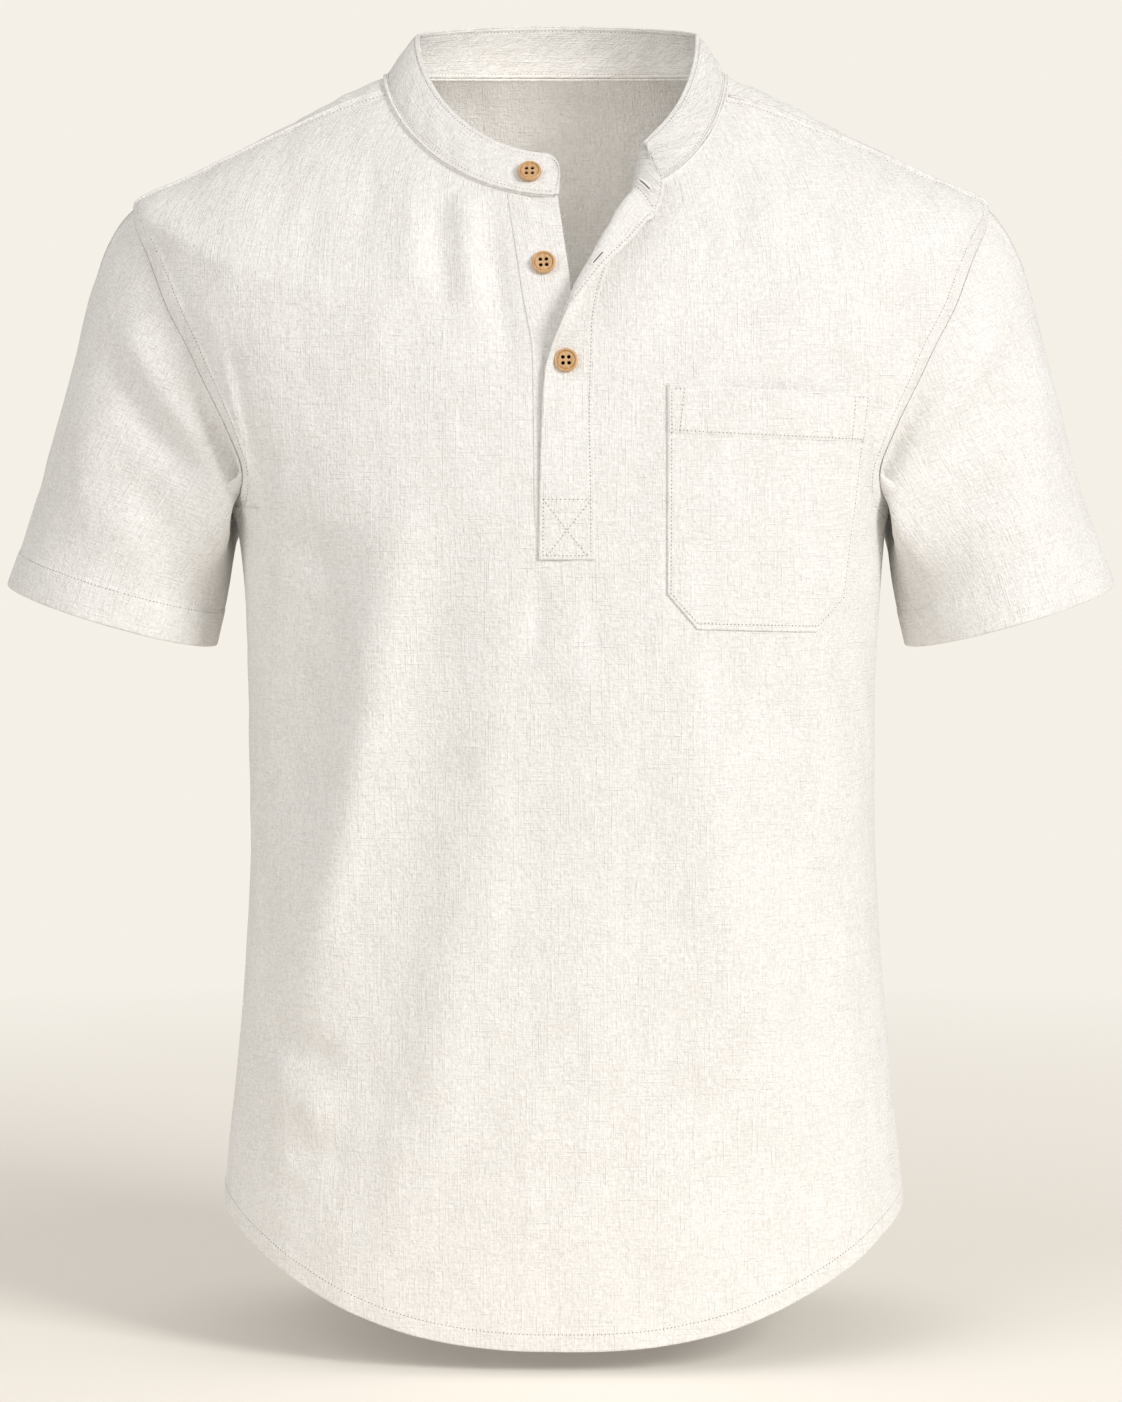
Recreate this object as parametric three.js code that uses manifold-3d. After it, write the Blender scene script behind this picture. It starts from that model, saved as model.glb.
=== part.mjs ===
// A henley shirt in its worn form: a band collar, a button placket that lies open to its
// lowest button, short set-in sleeves, a chest pocket and a curved shirt-tail hem.
// Millimetres, +Z up. The wearer faces -Y and the wearer's left is +X. The origin is the
// middle of the neck, level with the points where the shoulders meet it.
//
// Every piece is a thin wall. The front and back are cut from one hollow form, which is a
// stack of rings from the hem to the neck. The plackets and the pocket are made from
// points of that form, moved out, so that they follow it.

import * as THREE from 'three';
import { mergeVertices } from 'three/addons/utils/BufferGeometryUtils.js';
import Module from 'manifold-3d';

const wasm = await Module();
wasm.setup();

// ---------------------------------------------------------------- driving dimensions

const PLY = 1.2;             // one layer of cloth
const SEAM_GAP = 0.3;        // between two pieces where a seam joins them
const FACET_EASE = 0.2;      // what the flats of two faceted walls may take of their gap
// The over placket lies this far out from the front.
const PLACKET_LIFT = PLY + SEAM_GAP + FACET_EASE;
const BODY_HEM = 10;         // turned-up edge of the body
const SLEEVE_HEM = 20;       // turned-up edge of a sleeve
const HEM_EXTRA = 0.8;       // what a turned edge adds to the ply, on its inside
const HEM_STEP = 1;          // a hem steps back to the single ply over this height

const HEM_LEVEL = -625;      // side seams end here
const ARMPIT_LEVEL = -238;
const TIP_LEVEL = -73.6;     // where the shoulder seam meets the sleeve
const NECK_LEVEL = -1.8;     // the neck seam, at the shoulders

const BAND_GAP = 0.9;        // the band's sewn edge stands this far above the neck seam
const BAND_CLEAR = 2.4;      // and this far from the placket's turned top edge
// The shoulder seam lies this far in front of the ridge, at the neck and at the sleeve.
const SEAM_FORWARD = { neck: 15, tip: 10 };

// A button, and `seat`, how far its thread holds it off the cloth.
const BUTTON = {
  radius: 6.4, thick: 3.0, rim: 1.2, dish: 0.7, hole: 0.95, spread: 1.7, bevel: 0.8, seat: 0.35,
  sides: 18, holeSides: 6,
};
// The collar's button is placed in degrees and share of the band's height, the others on
// the front. `turn` is how far a button is turned, and `ease` clears its curved seat.
const BUTTON_PLACES = {
  collar: { angle: 99.5, rise: 0.46, turn: 8 },
  middle: { x: -9.3, z: -107.2, turn: 3 },
  lower: { x: 2.6, z: -158.9, turn: 2, ease: 0.6 },
};

// Rings of the hollow form. `level` is the height of a ring at the side seam or on the
// shoulder ridge. side, front and back are half-sizes; frontZ and backZ are the heights
// at the centre front and back.
const RINGS = [
  { level: HEM_LEVEL, side: 189.6, front: 131, frontZ: -688.5, back: 127, backZ: -697 },
  { level: -600, side: 187.4, front: 130.5, frontZ: -646, back: 127, backZ: -653 },
  { level: -560, side: 183.2, front: 129.5, frontZ: -583, back: 126.5, backZ: -587 },
  { level: -510, side: 178.6, front: 128.5, frontZ: -519, back: 126, backZ: -521 },
  { level: -450, side: 174.6, front: 127.5, frontZ: -451, back: 125.5, backZ: -452 },
  { level: -400, side: 173, front: 127.5, frontZ: -400, back: 125, backZ: -400 },
  { level: -350, side: 173, front: 128, frontZ: -350, back: 125, backZ: -350 },
  { level: -300, side: 175, front: 128.5, frontZ: -300, back: 125, backZ: -300 },
  { level: -268, side: 177.2, front: 128.5, frontZ: -268, back: 125.5, backZ: -268 },
  { level: ARMPIT_LEVEL, side: 181, front: 128, frontZ: -239, back: 126, backZ: -238 },
  { level: -215, side: 190, front: 127, frontZ: -224, back: 126.5, backZ: -218 },
  { level: -190, side: 206, front: 125.5, frontZ: -208, back: 127, backZ: -197 },
  { level: -150, side: 225, front: 122.5, frontZ: -186, back: 127, backZ: -166 },
  { level: -110, side: 236, front: 119, frontZ: -163, back: 126, backZ: -133 },
  { level: TIP_LEVEL, side: 235.5, front: 114.5, frontZ: -141, back: 123, backZ: -98 },
  { level: -56.3, side: 203, front: 109, frontZ: -124, back: 118, backZ: -66 },
  { level: -39.5, side: 170, front: 102, frontZ: -106, back: 110, backZ: -38 },
  { level: -24, side: 140, front: 96, frontZ: -91, back: 98, backZ: -16 },
  { level: -11, side: 115, front: 91.5, frontZ: -79.5, back: 86, backZ: -5 },
  { level: NECK_LEVEL, side: 93, front: 88, frontZ: -70.5, back: 75, backZ: 2 },
];

// How the rings bend: `square` is the power of the superellipse, `crest` shapes a ring's
// rise to its sides, `shift` moves it along X and `droop` lowers the wearer's left front,
// which has fallen open.
const RING_SHAPE = [
  { level: HEM_LEVEL, square: 2.5, crest: 2, shift: 1.4, droop: 0 },
  { level: -400, square: 2.5, crest: 2, shift: 1.4, droop: 0 },
  { level: -350, square: 2.5, crest: 2, shift: 1.3, droop: 0 },
  { level: -300, square: 2.6, crest: 2, shift: 1.0, droop: 0 },
  { level: -268, square: 2.7, crest: 2, shift: 0.7, droop: 0 },
  { level: ARMPIT_LEVEL, square: 2.75, crest: 2, shift: 0, droop: 0 },
  { level: -190, square: 2.45, crest: 2, shift: 0, droop: 0 },
  { level: -150, square: 2.3, crest: 2, shift: 0, droop: 0 },
  { level: -110, square: 2.25, crest: 1.9, shift: 0, droop: 0 },
  { level: TIP_LEVEL, square: 2.22, crest: 1.7, shift: 0, droop: 0.5 },
  { level: -56.3, square: 2.25, crest: 1.6, shift: -0.5, droop: 1.5 },
  { level: -39.5, square: 2.2, crest: 1.5, shift: -1, droop: 3.5 },
  { level: -24, square: 2.1, crest: 1.4, shift: -1.7, droop: 5.5 },
  { level: -11, square: 2.05, crest: 1.3, shift: -2.4, droop: 7 },
  { level: NECK_LEVEL, square: 2, crest: 1.2, shift: -3, droop: 8 },
];

// The loop of the band collar's upper edge, in the same terms as a ring.
const COLLAR_TOP = {
  level: 21, side: 77, front: 71, frontZ: -48, back: 60, backZ: 30,
  square: 2, crest: 1.1, shift: -2, droop: 7,
};
const BAND_CROWN = 1.2;      // how far the band's middle swells out

// The armhole on the rings, in degrees from the side line, towards the front and the back.
const ARMHOLE = [
  { level: ARMPIT_LEVEL, front: 0, back: 0 },
  { level: -235, front: 13, back: 12 },
  { level: -229, front: 22, back: 20 },
  { level: -214, front: 29, back: 26 },
  { level: -185, front: 32, back: 27.5 },
  { level: -145, front: 30, back: 25 },
  { level: -118, front: 26, back: 20 },
  { level: -95, front: 19, back: 12 },
  { level: -80, front: 10.5, back: 1 },
  { level: TIP_LEVEL, front: 4.5, back: -4.5 },
];

// The button side's placket strip, set into the front: its sewn edge and its free edge.
const UNDER_PLACKET = [
  { z: -238, seam: -13.2, edge: 11.0 },
  { z: -189, seam: -13.8, edge: 11.0 },
  { z: -158, seam: -14.2, edge: 10.6 },
  { z: -121.8, seam: -19.8, edge: 5.9 },
  { z: -99.4, seam: -23.3, edge: 2.6 },
  { z: -70.5, seam: -28.0, edge: -1.8 },
];

// The buttonhole side's placket, from its sewn box to the neck. Its outer sewn edge is
// `seam`, as X and Z on the front. It turns outwards at `roll` and ends at `edge`, each
// given as X, Z and the distance out from the front. `turn` is how far the strip has
// turned over at the roll, in degrees.
const OVER_PLACKET = [
  { seam: [18.0, -264], roll: [-3.0, -264, 0], edge: [-11.8, -264, 0], turn: 0 },
  { seam: [17.8, -231], roll: [-3.0, -231, 0], edge: [-11.4, -231, 0], turn: 0 },
  { seam: [17.2, -189], roll: [-3.0, -189, 0], edge: [-10.2, -189, 0.2], turn: 0 },
  { seam: [17.6, -165], roll: [-3.0, -165, 0], edge: [-8.6, -165, 1.2], turn: 6 },
  { seam: [18.0, -153], roll: [-1.8, -153, 0.5], edge: [-5.0, -153, 5.5], turn: 38 },
  { seam: [18.6, -138], roll: [2.0, -138, 4.5], edge: [2.5, -138, 12.5], turn: 70 },
  { seam: [20.7, -123.5], roll: [5.9, -124.9, 6.5], edge: [11.0, -128, 13], turn: 88 },
  { seam: [28.0, -102], roll: [17.1, -104.1, 6.0], edge: [24.1, -111.9, 11], turn: 90 },
  { seam: [38.5, -79.5], roll: [28.3, -83.6, 5.0], edge: [39.4, -96.3, 9], turn: 90 },
  { seam: [47.0, -64.3], roll: [37.8, -69.2, 4.5], edge: [49.7, -83.2, 8], turn: 90 },
];

// The turned-over end of the band collar, from its sewn edge (rise 0) to its upper edge
// (rise 1). `start` is the place on the rings, in degrees, where the band leaves its
// loop; `roll` and `edge` are X, Y and Z.
const BAND_END = [
  { rise: 0, start: 56.5, roll: [37.9, -84.0, -68.4], edge: [49.9, -89.6, -82.2] },
  { rise: 0.25, start: 53.5, roll: [39.6, -79.5, -61.6], edge: [53.4, -84.5, -73.8] },
  { rise: 0.5, start: 50.5, roll: [40.9, -74.5, -55.2], edge: [54.8, -80.0, -64.6] },
  { rise: 0.75, start: 47.5, roll: [42.2, -69.0, -48.8], edge: [52.6, -75.5, -57.6] },
  { rise: 1, start: 44.5, roll: [43.5, -63.0, -42.4], edge: [47.4, -70.5, -49.4] },
];
const BAND_TURN = 90;        // how far the band has turned over at its roll, in degrees
// The band's other end is at the centre front. Its corner is rounded over a short arc.
const BAND_START = { angle: 89.2, corner: 10, arc: 7.2 };

// The pocket's outline on the front, from its upper inner corner round to its lower one.
const POCKET = {
  top: { left: 56.4, right: 166.0, leftZ: -171.5, rightZ: -176.5 },
  bottom: { left: 56.2, right: 152.4, leftZ: -282.0, rightZ: -286.0 },
  chamferX: 16, chamferZ: 18.5, hem: 24, hemExtra: 0.5, ease: 0.6,
};
// Its grid lines, as shares of its width and of its depth below the hem.
const POCKET_COLUMNS = [0, 0.08, 0.16, 0.3, 0.5, 0.7, 0.84, 0.92, 1];
const POCKET_ROWS = [0.4, 0.6, 0.8, 1];

// The sleeve's open end: the centre of its edge, its radius and how far it leans.
const CUFF = { x: 250.3, z: -299.6, radius: 60, lean: 16.5, forward: 2.5 };

const CAP_LEAN = 48;         // the sleeve leaves the shoulder at this angle to the vertical

// ---------------------------------------------------------------- small helpers

const radians = (degrees) => degrees * Math.PI / 180;
const mix = (a, b, t) => a + (b - a) * t;
const vec = (x, y, z) => new THREE.Vector3(x, y, z);

/** A monotone cubic through the points with these abscissas and values. */
function monotoneCurve(xs, ys) {
  const slope = xs.slice(1).map((x, i) => (ys[i + 1] - ys[i]) / (x - xs[i]));
  const tangent = xs.map((_, i) => {
    if (i === 0) return slope[0];
    if (i === xs.length - 1) return slope[i - 1];
    if (slope[i - 1] * slope[i] <= 0) return 0;
    const left = xs[i] - xs[i - 1];
    const right = xs[i + 1] - xs[i];
    return 3 * (left + right) / ((2 * right + left) / slope[i - 1] + (right + 2 * left) / slope[i]);
  });
  return (at) => {
    const x = Math.min(Math.max(at, xs[0]), xs[xs.length - 1]);
    let i = 0;
    while (i < xs.length - 2 && x > xs[i + 1]) i += 1;
    const span = xs[i + 1] - xs[i];
    const t = (x - xs[i]) / span;
    const rise = t * t * (3 - 2 * t);
    return ys[i] * (1 - rise) + ys[i + 1] * rise
      + span * t * (1 - t) * ((1 - t) * tangent[i] - t * tangent[i + 1]);
  };
}

/** Every column of a table but `key`, as curves along it, read together as one row. */
function tableCurves(rows, key) {
  const along = rows.map((row) => row[key]);
  const names = Object.keys(rows[0]).filter((name) => name !== key);
  const curves = names.map((name) => {
    const column = rows.map((row) => row[name]);
    if (!Array.isArray(column[0])) return monotoneCurve(along, column);
    const parts = column[0].map((_, i) => monotoneCurve(along, column.map((place) => place[i])));
    return (at) => parts.map((part) => part(at));
  });
  return (at) => Object.fromEntries(names.map((name, i) => [name, curves[i](at)]));
}

// ---------------------------------------------------------------- the hollow form

const ringSizesAt = tableCurves(RINGS, 'level');
const ringShapeAt = tableCurves(RING_SHAPE, 'level');
const ringAt = (level) => ({ ...ringSizesAt(level), ...ringShapeAt(level) });
const armholeAt = tableCurves(ARMHOLE, 'level');
const underPlacketAt = tableCurves(UNDER_PLACKET, 'z');

/** A point of a ring. Angle 0 is the wearer's left side and 90 degrees the centre front. */
function ringPoint(ring, level, angle) {
  const across = Math.cos(radians(angle));
  const deep = Math.sin(radians(angle));
  const power = 2 / ring.square;
  const isFront = deep >= 0;
  const depth = isFront ? -ring.front : ring.back;
  const centreZ = isFront ? ring.frontZ : ring.backZ;
  const opened = isFront && across > 0 ? 2 * across * deep * ring.droop : 0;
  return vec(
    ring.shift + ring.side * Math.sign(across) * Math.abs(across) ** power,
    depth * Math.abs(deep) ** power,
    mix(level, centreZ, Math.abs(deep) ** ring.crest) - opened,
  );
}

const formPoint = (level, angle) => ringPoint(ringAt(level), level, angle);

/** The direction out of the form, from its slopes along the ring and up the rings. */
function formOut(level, angle) {
  const step = 1.5;
  const around = formPoint(level, angle + step).sub(formPoint(level, angle - step));
  const up = formPoint(Math.min(level + step, NECK_LEVEL), angle)
    .sub(formPoint(Math.max(level - step, HEM_LEVEL), angle));
  return up.cross(around).normalize();
}

/** A point of the form with the direction out of it, which is what a wall is made from. */
const formStitch = (level, angle) => ({ at: formPoint(level, angle), out: formOut(level, angle) });

/** The angle on the ring at `level` whose front point has this x. */
function angleOfX(level, x) {
  const ring = ringAt(level);
  const reach = Math.min(Math.abs(x - ring.shift) / ring.side, 1) ** (ring.square / 2);
  const angle = Math.acos(reach) * 180 / Math.PI;
  return x >= ring.shift ? angle : 180 - angle;
}

/** The stitch on the front at this x and z, found by halving the range of levels. */
function frontStitch(x, z) {
  let low = HEM_LEVEL;
  let high = NECK_LEVEL;
  for (let step = 0; step < 40; step += 1) {
    const middle = (low + high) / 2;
    if (formPoint(middle, angleOfX(middle, x)).z < z) low = middle;
    else high = middle;
  }
  return formStitch(low, angleOfX(low, x));
}

/** The angle on a ring, from the side line, of the front's point this far forward. */
function angleOfForward(ring, forward) {
  return Math.asin((forward / ring.front) ** (ring.square / 2)) * 180 / Math.PI;
}

/** How far in front of the ridge a ring's seam lies: the side seam, then the shoulder's. */
function seamForward(level) {
  if (level < TIP_LEVEL) return 0;
  const outward = (NECK_LEVEL - level) / (NECK_LEVEL - TIP_LEVEL);
  return mix(SEAM_FORWARD.neck, SEAM_FORWARD.tip, outward);
}

const shoulderSeamAngle = (level) => angleOfForward(ringAt(level), seamForward(level));

/** Half a seam gap beside a ring's seam, in degrees along the ring. */
function seamTurn(level) {
  const ring = ringAt(level);
  const forward = seamForward(level);
  return angleOfForward(ring, forward + SEAM_GAP / 2) - angleOfForward(ring, forward);
}

const TIP_EASE = 21.4;       // the armhole turns into the shoulder seam over this height

/** Where the front and the back end on a ring: at the side seam, armhole or shoulder. */
function panelEdge(level) {
  if (level < ARMPIT_LEVEL) return { front: 0, back: 0 };
  if (level < TIP_LEVEL) {
    const blend = Math.max(0, 1 - (TIP_LEVEL - level) / TIP_EASE);
    const armhole = armholeAt(level);
    const seam = shoulderSeamAngle(TIP_LEVEL);
    return {
      front: mix(armhole.front, seam, blend ** 2),
      back: mix(armhole.back, -seam, blend ** 2),
    };
  }
  const seam = shoulderSeamAngle(level);
  return { front: seam, back: -seam };
}

// ---------------------------------------------------------------- walls

/**
 * A closed wall over a grid of stitches. `skin(j, i)` gives how far its inner and outer
 * faces lie along the stitch's direction. A loop joins the last column to the first, and
 * `hole(j, i)` leaves a cell out.
 */
function wall(rows, skin, { loop = false, hole = () => false } = {}) {
  const high = rows.length;
  const wide = rows[0].length;
  const across = loop ? wide : wide - 1;
  const points = [];
  rows.forEach((row, j) => row.forEach(({ at, out }, i) => {
    const [inner, outer] = skin(j, i);
    points.push(at.clone().addScaledVector(out, outer), at.clone().addScaledVector(out, inner));
  }));
  const outerAt = (j, i) => 2 * (j * wide + (i % wide));
  const innerAt = (j, i) => outerAt(j, i) + 1;
  const kept = (j, i) => {
    if (j < 0 || j >= high - 1) return false;
    if (!loop && (i < 0 || i >= across)) return false;
    return !hole(j, (i + across) % across);
  };

  const first = rows[0][0];
  const alongRow = rows[0][1].at.clone().sub(first.at);
  const alongColumn = rows[1][0].at.clone().sub(first.at);
  const facesOut = alongRow.cross(alongColumn).dot(first.out) > 0;
  const triangles = [];
  const triangle = (a, b, c) => triangles.push(a, facesOut ? b : c, facesOut ? c : b);
  const quad = (a, b, c, d, fromA) => {
    if (fromA) {
      triangle(a, b, c);
      triangle(a, c, d);
    } else {
      triangle(a, b, d);
      triangle(b, c, d);
    }
  };

  for (let j = 0; j < high - 1; j += 1) {
    for (let i = 0; i < across; i += 1) {
      if (!kept(j, i)) continue;
      const [a, b, c, d] = [outerAt(j, i), outerAt(j, i + 1), outerAt(j + 1, i + 1), outerAt(j + 1, i)];
      const next = (i + 1) % wide;
      const fromA = rows[j][i].at.distanceTo(rows[j + 1][next].at)
        <= rows[j][next].at.distanceTo(rows[j + 1][i].at);
      quad(a, b, c, d, fromA);
      quad(a + 1, d + 1, c + 1, b + 1, fromA);
      if (!kept(j - 1, i)) quad(a + 1, b + 1, b, a, true);
      if (!kept(j, i + 1)) quad(b + 1, c + 1, c, b, true);
      if (!kept(j + 1, i)) quad(c + 1, d + 1, d, c, true);
      if (!kept(j, i - 1 + (loop ? wide : 0))) quad(d + 1, a + 1, a, d, true);
    }
  }

  const geometry = new THREE.BufferGeometry();
  const corners = triangles.flatMap((index) => points[index].toArray());
  geometry.setAttribute('position', new THREE.Float32BufferAttribute(corners, 3));
  return mergeVertices(geometry, 1e-4);
}

/** A grid of points given the directions out of it, on the side that `outside` points to. */
function stitchesOf(points, outside, loop = false) {
  const wide = points[0].length;
  const sample = (j, i) => {
    const row = points[Math.min(Math.max(j, 0), points.length - 1)];
    return row[loop ? (i + wide) % wide : Math.min(Math.max(i, 0), wide - 1)];
  };
  const directions = points.map((row, j) => row.map((_, i) => {
    const alongRow = sample(j, i + 1).clone().sub(sample(j, i - 1));
    const alongColumn = sample(j + 1, i).clone().sub(sample(j - 1, i));
    return alongRow.cross(alongColumn).normalize();
  }));
  const sign = directions[0][0].dot(outside) > 0 ? 1 : -1;
  return points.map((row, j) => row.map((at, i) => (
    { at, out: directions[j][i].multiplyScalar(sign) }
  )));
}

const evenly = (count, from, to) => (
  Array.from({ length: count + 1 }, (_, i) => mix(from, to, i / count))
);

const group = new THREE.Group();

/** Adds one named piece of the shirt. */
function addPiece(name, geometry, finish) {
  const mesh = new THREE.Mesh(geometry, new THREE.MeshStandardMaterial(finish));
  mesh.name = name;
  group.add(mesh);
  return mesh;
}

const LINEN = { color: 0xf3f0e9, roughness: 0.9, metalness: 0 };
const LINEN_INSIDE = { color: 0xe7e2d9, roughness: 0.92, metalness: 0 };
const WOOD = { color: 0xc08a4e, roughness: 0.55, metalness: 0 };

// ---------------------------------------------------------------- front and back

const BODY_LEVELS = [
  HEM_LEVEL, HEM_LEVEL + BODY_HEM, HEM_LEVEL + BODY_HEM + HEM_STEP,
  -580, -532, -482, -432, -382, -332, -285,
  ARMPIT_LEVEL, -237.5, -235, -229, -214, -190, -165, -140, -118, -97, -83,
  TIP_LEVEL, -56.3, -39.5, -24, -11, NECK_LEVEL,
];
const HEM_ROWS = 2;          // grid rows that lie in the turned-up edge
const SPAN_CELLS = 9;        // from a side seam to the placket
const SLOT_CELLS = 2;        // across the slot that the under placket fills
const SHIFT_FADE = 2.5;      // how fast an edge's shift fades over the columns, as a power

const panelSkin = (j) => [j < HEM_ROWS ? -PLY / 2 - HEM_EXTRA : -PLY / 2, PLY / 2];

const overSeamX = monotoneCurve(
  OVER_PLACKET.map(({ seam }) => seam[1]),
  OVER_PLACKET.map(({ seam }) => seam[0]),
);

// The front's opened edge runs this far under the over placket's seam, below and at the neck.
const UNDER_ALLOWANCE = { below: 4, neck: -1.5, fade: 60 };

/** The front's slot at a ring: the under placket's seam and the opened left edge. */
function slotAngles(level) {
  const z = Math.max(ringAt(level).frontZ, ARMPIT_LEVEL);
  const rightX = underPlacketAt(z).seam - SEAM_GAP;
  const seamZ = formPoint(Math.max(level, ARMPIT_LEVEL), angleOfX(level, overSeamX(z))).z;
  const fade = Math.min((NECK_LEVEL - level) / UNDER_ALLOWANCE.fade, 1);
  const leftX = overSeamX(seamZ) - mix(UNDER_ALLOWANCE.neck, UNDER_ALLOWANCE.below, fade);
  return { right: angleOfX(level, rightX), left: angleOfX(level, leftX) };
}

/** Angles from an outer edge to an inner one; the outer columns take up the edge's shift. */
function spanAngles(side, edgeShift, inner) {
  return evenly(SPAN_CELLS, 0, 1).map((t) => mix(side, inner, t) + edgeShift * (1 - t) ** SHIFT_FADE);
}

function frontPanel() {
  const rows = BODY_LEVELS.map((level) => {
    const { front: edge } = panelEdge(level);
    const slot = slotAngles(level);
    const shift = edge + seamTurn(level);
    const angles = [
      ...spanAngles(180, -shift, slot.right).slice(0, -1),
      ...evenly(SLOT_CELLS, slot.right, slot.left).slice(0, -1),
      ...spanAngles(0, shift, slot.left).reverse(),
    ];
    return angles.map((angle) => formStitch(level, angle));
  });
  const firstSlotRow = BODY_LEVELS.indexOf(ARMPIT_LEVEL);
  const hole = (j, i) => j >= firstSlotRow && i >= SPAN_CELLS && i < SPAN_CELLS + SLOT_CELLS;
  return wall(rows, panelSkin, { hole });
}

function backPanel() {
  const rows = BODY_LEVELS.map((level) => {
    const { back: edge } = panelEdge(level);
    const shift = edge + seamTurn(level);
    const angles = [
      ...spanAngles(180, shift, 270).slice(0, -1),
      ...spanAngles(360, -shift, 270).reverse(),
    ];
    return angles.map((angle) => formStitch(level, angle));
  });
  return wall(rows, panelSkin);
}

addPiece('front', frontPanel(), LINEN);
addPiece('back', backPanel(), LINEN);

// ---------------------------------------------------------------- sleeves

const SLEEVE_ROWS = 8;       // from the armhole to the top of the sleeve's hem
const SLEEVE_TAPER = 0.02;   // how much narrower a sleeve is at the top of its hem
// A sleeve's lengthwise lines leave the armhole and run into the hem with these handles,
// as shares of their length: over the shoulder and under the arm.
const LEAVE_HANDLE = { over: 0.2, under: 0.45 };
const HEM_HANDLE = { over: 0.5, under: 0.25 };
const HANG_SHARE = 0.35;     // how far a line's first direction hangs down at the shoulder
const ROW_CROWD = 1.15;      // crowds a sleeve's rows towards the armhole, as a power
const FOLD_GAP = 0.4;        // between the faces where a sleeve folds back on the body

/** The armhole as a closed run of stitches from the shoulder, down the front and back up. */
function armholeLoop() {
  const levels = BODY_LEVELS.filter((level) => level >= ARMPIT_LEVEL && level <= TIP_LEVEL).reverse();
  const down = levels.map((level) => formStitch(level, panelEdge(level).front));
  const up = levels.slice(1, -1).reverse().map((level) => formStitch(level, -panelEdge(level).back));
  return { loop: [...down, ...up], armpit: down.length - 1 };
}

/** How far round the sleeve each stitch of the armhole goes, from its top through the armpit. */
function sleeveAngles(loop, armpit) {
  const steps = loop.map(({ at }, i) => at.distanceTo(loop[(i + 1) % loop.length].at));
  const total = (from, to) => steps.slice(from, to).reduce((sum, step) => sum + step, 0);
  const front = total(0, armpit);
  const back = total(armpit, loop.length);
  return loop.map((_, i) => (
    i <= armpit ? Math.PI * total(0, i) / front : Math.PI * (1 + total(armpit, i) / back)
  ));
}

/** A point of the sleeve's open edge, `lift` up the sleeve from it. */
function cuffPoint(angle, lift) {
  const lean = radians(CUFF.lean);
  const outward = vec(Math.cos(lean), 0, Math.sin(lean));
  const upward = vec(-Math.sin(lean), CUFF.forward / CUFF.radius, Math.cos(lean)).normalize();
  const swell = 1 - SLEEVE_TAPER * lift / SLEEVE_HEM;
  return vec(CUFF.x, 0, CUFF.z)
    .addScaledVector(outward, CUFF.radius * Math.cos(angle) * swell)
    .add(vec(0, -CUFF.radius * Math.sin(angle) * swell, -CUFF.forward * Math.sin(angle)))
    .addScaledVector(upward, lift);
}

/**
 * The sleeve's first stitch beside the body's. It turns about the body's outer edge, from
 * lying flat beyond it to lying folded back on its face, as `leave` asks.
 */
function turnedStitch({ at, out }, away, leave) {
  const turn = Math.atan2(Math.max(leave.dot(out), 0), leave.dot(away));
  const normal = away.clone().multiplyScalar(-Math.sin(turn)).addScaledVector(out, Math.cos(turn));
  const gap = mix(SEAM_GAP, FOLD_GAP, turn / Math.PI);
  const start = at.clone()
    .addScaledVector(out, PLY / 2 + gap * Math.sin(turn / 2))
    .addScaledVector(away, gap * Math.cos(turn / 2))
    .addScaledVector(normal, -PLY / 2);
  return { at: start, out: normal };
}

function sleeve(side) {
  const { loop, armpit } = armholeLoop();
  const angles = sleeveAngles(loop, armpit);
  const axis = vec(Math.sin(radians(CUFF.lean)), 0, -Math.cos(radians(CUFF.lean)));
  const capDirection = vec(Math.sin(radians(CAP_LEAN)), 0, -Math.cos(radians(CAP_LEAN)));
  const firstStitches = [];
  const lines = loop.map((stitch, i) => {
    const before = loop[(i + loop.length - 1) % loop.length].at;
    const after = loop[(i + 1) % loop.length].at;
    const away = stitch.out.clone().cross(after.clone().sub(before)).normalize();
    const under = (1 - Math.cos(angles[i])) / 2;
    const down = axis.clone().lerp(vec(0, 0, -1), under);
    const leave = away.clone().lerp(down, mix(HANG_SHARE, 1, Math.sqrt(under))).normalize()
      .lerp(capDirection, Math.max(0, Math.cos(angles[i])) ** 2)
      .normalize();
    const first = turnedStitch(stitch, away, leave);
    firstStitches.push(first);
    const hemTop = cuffPoint(angles[i], SLEEVE_HEM + HEM_STEP);
    const reach = first.at.distanceTo(hemTop);
    const into = cuffPoint(angles[i], 0).sub(hemTop).normalize();
    const line = new THREE.CubicBezierCurve3(
      first.at,
      first.at.clone().addScaledVector(leave, reach * mix(LEAVE_HANDLE.over, LEAVE_HANDLE.under, under)),
      hemTop.clone().addScaledVector(into, -reach * mix(HEM_HANDLE.over, HEM_HANDLE.under, under)),
      hemTop,
    );
    const along = evenly(SLEEVE_ROWS, 0, 1).map((t) => line.getPoint(t ** ROW_CROWD));
    return [...along, cuffPoint(angles[i], SLEEVE_HEM), cuffPoint(angles[i], 0)];
  });
  const points = lines[0].map((_, j) => lines.map((line) => line[j]));
  const stitches = stitchesOf(points, vec(1, 0, 1), true);
  firstStitches.forEach(({ out }, i) => stitches[0][i].out.copy(out));
  const lastRows = stitches.length - HEM_ROWS;
  const skin = (j) => [j >= lastRows ? -PLY / 2 - HEM_EXTRA : -PLY / 2, PLY / 2];
  if (side < 0) {
    stitches.forEach((row) => row.forEach(({ at, out }) => {
      at.x = -at.x;
      out.x = -out.x;
    }));
  }
  return wall(stitches, skin, { loop: true });
}

addPiece('sleeve_left', sleeve(1), LINEN);
addPiece('sleeve_right', sleeve(-1), LINEN);

// ---------------------------------------------------------------- plackets

const FOLD_CELLS = 5;        // across each leg of a turned-over edge
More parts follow.
